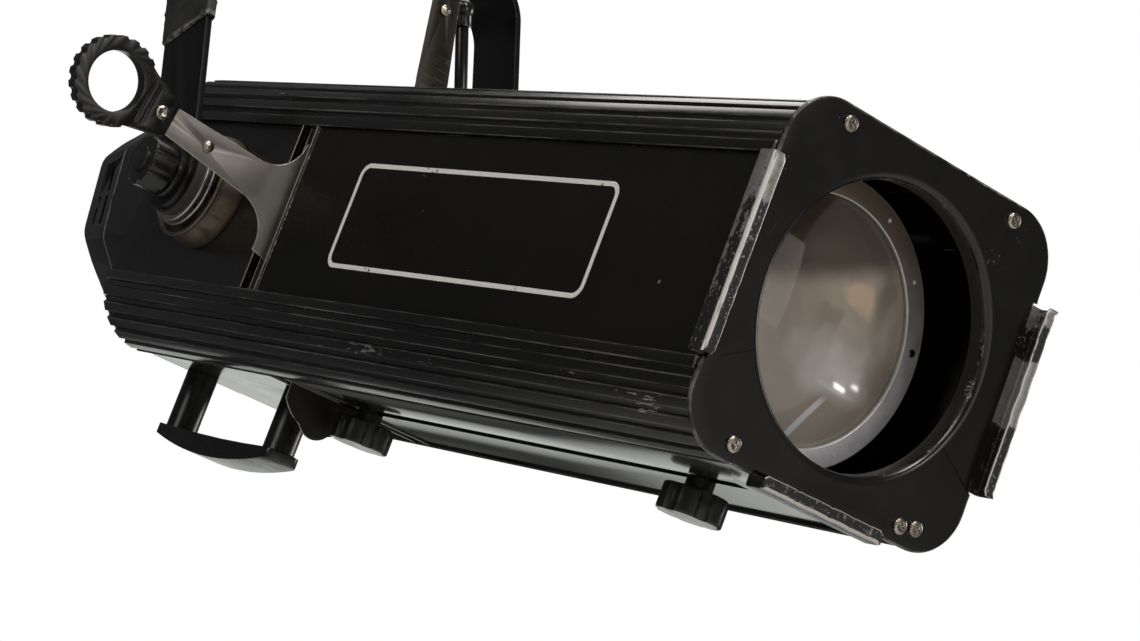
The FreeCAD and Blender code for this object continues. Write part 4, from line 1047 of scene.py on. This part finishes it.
# ------------------------------------------------------------------ everything else that keeps its frame shape, with finer edges
FINE = [
    ("front_plate_screws", M_SCREW, 0.18, 2, "screw_steel"),
    ("label_border", M_LABEL, 0.08, 1, "label_silver"),
    ("gate_plate_front", M_ALU, 0.2, 1, "bare_aluminium"), ("gate_plate_rear", M_ALU, 0.2, 1, "bare_aluminium"),
    ("reflector", M_MIRROR, 0.0, 1, "reflector_metal"),
    ("tilt_bosses", M_BOSS, 0.6, 3, "boss_bronze"), ("tilt_studs", M_SCREW_DARK, 0.5, 2, "screw_steel"),
    ("tilt_knob_right", M_BAKE, 0.9, 3, "bakelite"), ("tilt_knob_left", M_BAKE, 0.9, 3, "bakelite"),
    ("rear_handle", M_BAKE, 0.8, 3, "bakelite"), ("handle_bolts", M_SCREW, 0.3, 2, "screw_steel"),
    ("front_lens_carriage", M_INNER, 0.5, 2, "black_inner"), ("rear_lens_carriage", M_INNER, 0.5, 2, "black_inner"),
    ("front_focus_knob", M_BAKE, 0.8, 3, "bakelite"), ("rear_focus_knob", M_BAKE, 0.8, 3, "bakelite"),
    ("rear_lens", M_GLASS2, 0.0, 1, "lens_glass"), ("rear_lens_ring", M_INNER, 0.3, 1, "black_inner"),
    ("iris_ring", M_BLADE_DARK, 0.25, 2, "blade_steel"), ("iris_lever", M_GLOSS, 0.3, 2, "gloss_black"), ("iris_knob", M_GLOSS, 0.0, 1, "gloss_black"),
    ("lamp_carrier", M_ALU, 0.3, 2, "bare_aluminium"), ("lamp_socket", M_CERAMIC, 0.5, 2, "ceramic_white"),
    ("lamp_base", M_CERAMIC, 0.4, 2, "ceramic_white"), ("lamp_bulb", M_LAMP, 0.0, 1, "lamp_glass"),
    ("lamp_adjust_knob", M_BAKE, 0.6, 3, "bakelite"), ("cable_gland", M_GLOSS, 0.5, 2, "gloss_black"),
    ("rear_cap", M_CAP, 0.8, 3, "black_paint"),
]
for side in ("left", "right", "top"):
    FINE += [("shutter_%s_blade" % side, M_BLADE_TOP if side == "top" else M_BLADE, 0.3, 2, "blade_steel"), ("shutter_%s_handle" % side, M_BAKE, 1.0, 3, "bakelite"),
             ("shutter_%s_rivets" % side, M_SCREW, 0.35, 2, "screw_steel")]
FINE.append(("shutter_bottom_blade", M_BLADE_DARK, 0.3, 2, "blade_steel"))
for nm, mat, w, sg, slot in FINE:
    detail(nm, mat, w, sg)

# friction stack: two metal discs and a dark fibre washer each side, one group
o = detail("friction_washers", M_DISC, 0.35, 2)
o.data.materials.append(M_FIBRE)
inv = B2W.inverted()
for p in o.data.polygons:
    ax_ = abs((inv @ p.center).x)
    if HX + 22.05 < ax_ < HX + 24.45 or ax_ > HX + 26.55:
        p.material_index = 1


# the yoke: one bent flat bar
def yoke_bar():
    parts = ("yoke_crossbar", "yoke_arm_right", "yoke_arm_left")
    bm = bmesh.new()
    for n_ in parts:
        bm.from_mesh(NODES[n_].data)
    bmesh.ops.remove_doubles(bm, verts=bm.verts, dist=3e-6)
    seam = [f for f in bm.faces if all(abs(abs(v.co.x) - 0.096) < 2e-5 for v in f.verts)]
    bmesh.ops.delete(bm, geom=seam, context="FACES")
    bmesh.ops.dissolve_limit(bm, angle_limit=math.radians(1.0), verts=bm.verts, edges=bm.edges, use_dissolve_boundaries=False)
    me = bpy.data.meshes.new("yoke_bar")
    bm.to_mesh(me)
    bm.free()
    for a_ in list(me.attributes):
        if a_.name in ("UVMap", "Color", "COLOR_0"):
            me.attributes.remove(a_)
    y = link(bpy.data.objects.new("yoke_bar", me))
    bevel(y, 0.9, 3)
    y.data.materials.clear()
    y.data.materials.append(M_YOKE)
    ride(y, "yoke", "yoke_paint", *parts)


yoke_bar()


# ------------------------------------------------------------------ lens and its ring
def front_lens():
    re_, sag, apex, et = 79.9, 14.0, 48.85, 3.95
    rs = (re_ * re_ + sag * sag) / (2 * sag)
    prof = []
    n = 26
    for i in range(n + 1):
        r = re_ * i / n
        prof.append((max(r, 0.0001), apex + rs - math.sqrt(rs * rs - r * r)))
    prof += [(re_, apex + sag + et - 0.4), (re_ - 0.4, apex + sag + et)]
    for i in range(6):
        prof.append((max(0.0001, (re_ - 0.4) * (1 - (i + 1) / 6.0)), apex + sag + et))
    o = lathe("front_lens.fine", prof, M_GLASS, "y", 128, smooth=60)
    return ride(o, "front_lens_carriage", "lens_glass", "front_lens")


front_lens()
ring_prof = round_prof([(72.55, 59.95), (72.55, 57.5), (73.3, 57.05), (85.4, 57.05), (86.0, 57.6), (86.0, 59.95)], 0.3, 2)
rg = lathe("front_lens_ring.fine", ring_prof, M_RING, "y", 144)
rg.data.attributes.new("edge", "FLOAT", "POINT")
set_edge(rg, lambda b: 1.0 if (math.hypot(b.x, b.z) < 73.2 or math.hypot(b.x, b.z) > 85.3) and b.y < 58 else 0.0)
ride(rg, "front_lens_carriage", "lens_ring", "front_lens_ring")
for i in range(12):
    a = math.radians(30 * i + 8)
    r = 79.6
    big = i % 4 == 0
    q = [(0.0001, 0.0), (2.5 if big else 1.5, 0.0), (2.5 if big else 1.5, -0.35), (2.1 if big else 1.2, -0.75), (0.0001, -0.85)] if big else \
        [(0.0001, 0.0), (1.3, 0.0), (1.25, -0.12), (0.9, -0.2), (0.0001, -0.22)]
    d = lathe("lens_ring_%s_%d" % ("screw" if big else "dot", i), q, M_SCREW if big else M_DOT, "y", 20, r * math.cos(a), 57.04, r * math.sin(a))
    ride(d, "front_lens_carriage", "lens_ring")


# ------------------------------------------------------------------ wrap on the near arm
def wrap():
    z0, z1 = PZ + 121.0, PZ + 250.0
    xc, hx, hy = -140.4, 5.4, 28.5
    vs, fs = [], []
    n, k = 60, 44
    for i in range(n + 1):
        t = i / n
        z = z0 + (z1 - z0) * t
        for j in range(k):
            a = 2 * math.pi * j / k
            # flattened tube
            c, s = math.cos(a), math.sin(a)
            e = 0.22
            x = hx * math.copysign(abs(c) ** (e * 1.6), c)
            y = hy * math.copysign(abs(s) ** e, s)
            sl = (a / (2 * math.pi) + z / 31.0)
            fr = sl - math.floor(sl)
            step = 0.55 * (1 - sm(fr, 0.0, 0.10))
            wr = noise.noise(Vector((x * 0.16, y * 0.14, z * 0.22))) * 0.35 - 0.55
            d = min(0.0, -0.5 + step + wr * 0.7)
            skew = (math.copysign(1, x) * 0.0) + y * 0.12 * (1 - sm(t, 0.0, 0.12))
            rr = 1.0 + d / hy
            zz = z + (skew if i == 0 else skew * (1 - t)) * 1.0
            zz = min(max(zz, z0), z1)
            vs.append((xc + x + (d if x > 0 else -d) * 0.9, y * rr, zz))
    for i in range(n):
        for j in range(k):
            q = (j + 1) % k
            fs.append((i * k + j, i * k + q, (i + 1) * k + q, (i + 1) * k + j))
    # inner skin against the bar, and the two rims
    off = len(vs)
    for i in (0, n):
        z = z0 + (z1 - z0) * i / n
        for j in range(k):
            a = 2 * math.pi * j / k
            c, s = math.cos(a), math.sin(a)
            x = 2.5 * math.copysign(abs(c) ** 0.25, c)
            y = 25.3 * math.copysign(abs(s) ** 0.12, s)
            vs.append((xc + x, y, z))
    for j in range(k):
        q = (j + 1) % k
        fs.append((j, off + j, off + q, q))
        fs.append((n * k + j, n * k + q, off + k + q, off + k + j))
        fs.append((off + j, off + k + j, off + k + q, off + q))
    o = mesh_obj("yoke_wrap", vs, fs, M_WRAP, YOKE2W, 50.0)
    at = o.data.attributes.new("edge", "FLOAT", "POINT")
    at.data.foreach_set("value", [1.0 if (v.co.z * 1000 < z0 + 2.5 or v.co.z * 1000 > z1 - 2.5) else 0.0 for v in o.data.vertices])
    return ride(o, "yoke", "sleeve", "yoke_sleeve")


wrap()

# ------------------------------------------------------------------ room
def floor_mat():
    k = Mat("studio_floor")
    a = k.noise(k.co, 3.0, 4.0, 0.6)
    k.set("Base Color", k.mix(a, (0.80, 0.80, 0.79), (0.86, 0.86, 0.855)))
    k.set("Roughness", 0.65)
    return k.m


fl = mesh_obj("studio_floor_plane", [(-9000, -9000, -1750), (9000, -9000, -1750), (9000, 9000, -1750), (-9000, 9000, -1750)],
              [(0, 1, 2, 3)], floor_mat(), YOKE2W, 30.0, fix=False)

wd = bpy.data.worlds.new("world")
bpy.context.scene.world = wd
wd.use_nodes = True
wt = wd.node_tree
wt.nodes.clear()
wo = wt.nodes.new("ShaderNodeOutputWorld")
bg_cam = wt.nodes.new("ShaderNodeBackground")
bg_cam.inputs[0].default_value = (1, 1, 1, 1)
bg_cam.inputs[1].default_value = 1.0
bg = wt.nodes.new("ShaderNodeBackground")
bg.inputs[0].default_value = (0.90, 0.93, 1.0, 1)
bg.inputs[1].default_value = 0.075
lp = wt.nodes.new("ShaderNodeLightPath")
mxw = wt.nodes.new("ShaderNodeMixShader")
wt.links.new(lp.outputs["Is Camera Ray"], mxw.inputs[0])
wt.links.new(bg.outputs[0], mxw.inputs[1])
wt.links.new(bg_cam.outputs[0], mxw.inputs[2])
wt.links.new(mxw.outputs[0], wo.inputs[0])


def area(name, loc, target, size, power, color=(1, 1, 1), size_y=None):
    d = bpy.data.lights.new(name, "AREA")
    d.shape = "RECTANGLE"
    d.size = size
    d.size_y = size_y or size
    d.energy = power
    d.color = color
    o = link(bpy.data.objects.new(name, d))
    o.location = loc
    o.rotation_mode = "QUATERNION"
    o.rotation_quaternion = (Vector(target) - Vector(loc)).to_track_quat("-Z", "Y")
    return o


T = (0, -0.2, -0.4)
area("key", (-2.4, -2.6, 1.4), T, 1.4, 36.0, (1.0, 0.97, 0.92))
area("front_top", (-0.36, -2.64, 1.4), (0.0, -0.45, -0.6), 0.8, 20.0, (1.0, 0.97, 0.93))
area("fill_left", (-3.2, -0.9, 0.3), (-0.1, 0.1, -0.35), 1.2, 12.0, (1.0, 0.98, 0.95))
area("top", (0.3, -0.2, 2.6), T, 2.0, 44.0, (1.0, 0.98, 0.95))
area("right_rim", (3.0, -1.0, 0.3), T, 1.2, 30.0, (1.0, 0.97, 0.93))
area("front_low", (0.6, -3.2, -1.2), T, 1.4, 6.0, (1.0, 0.97, 0.94))
area("rear_card", (2.5, 3.1, 0.55), T, 2.8, 22.0, (0.97, 1.0, 0.93))
area("lamp_a", (0.44, -2.60, -0.45), (0.033, -0.443, -0.603), 0.30, 3.2, (1.0, 0.98, 0.96), 0.06)
area("lamp_b", (0.034, -2.644, -0.596), (0.045, -0.444, -0.598), 0.20, 1.5, (1.0, 0.98, 0.96), 0.05)
area("hem_low", (-0.18, -2.10, 0.77), (0.08, -0.50, -0.70), 0.30, 5.0, (1.0, 0.98, 0.95))
area("hem_side", (-1.48, -0.81, 1.08), (0.20, -0.50, -0.60), 0.30, 4.2, (1.0, 0.98, 0.95))

scn = bpy.context.scene
scn.view_settings.view_transform = "Standard"
scn.view_settings.look = "None"
scn.view_settings.exposure = 0.0
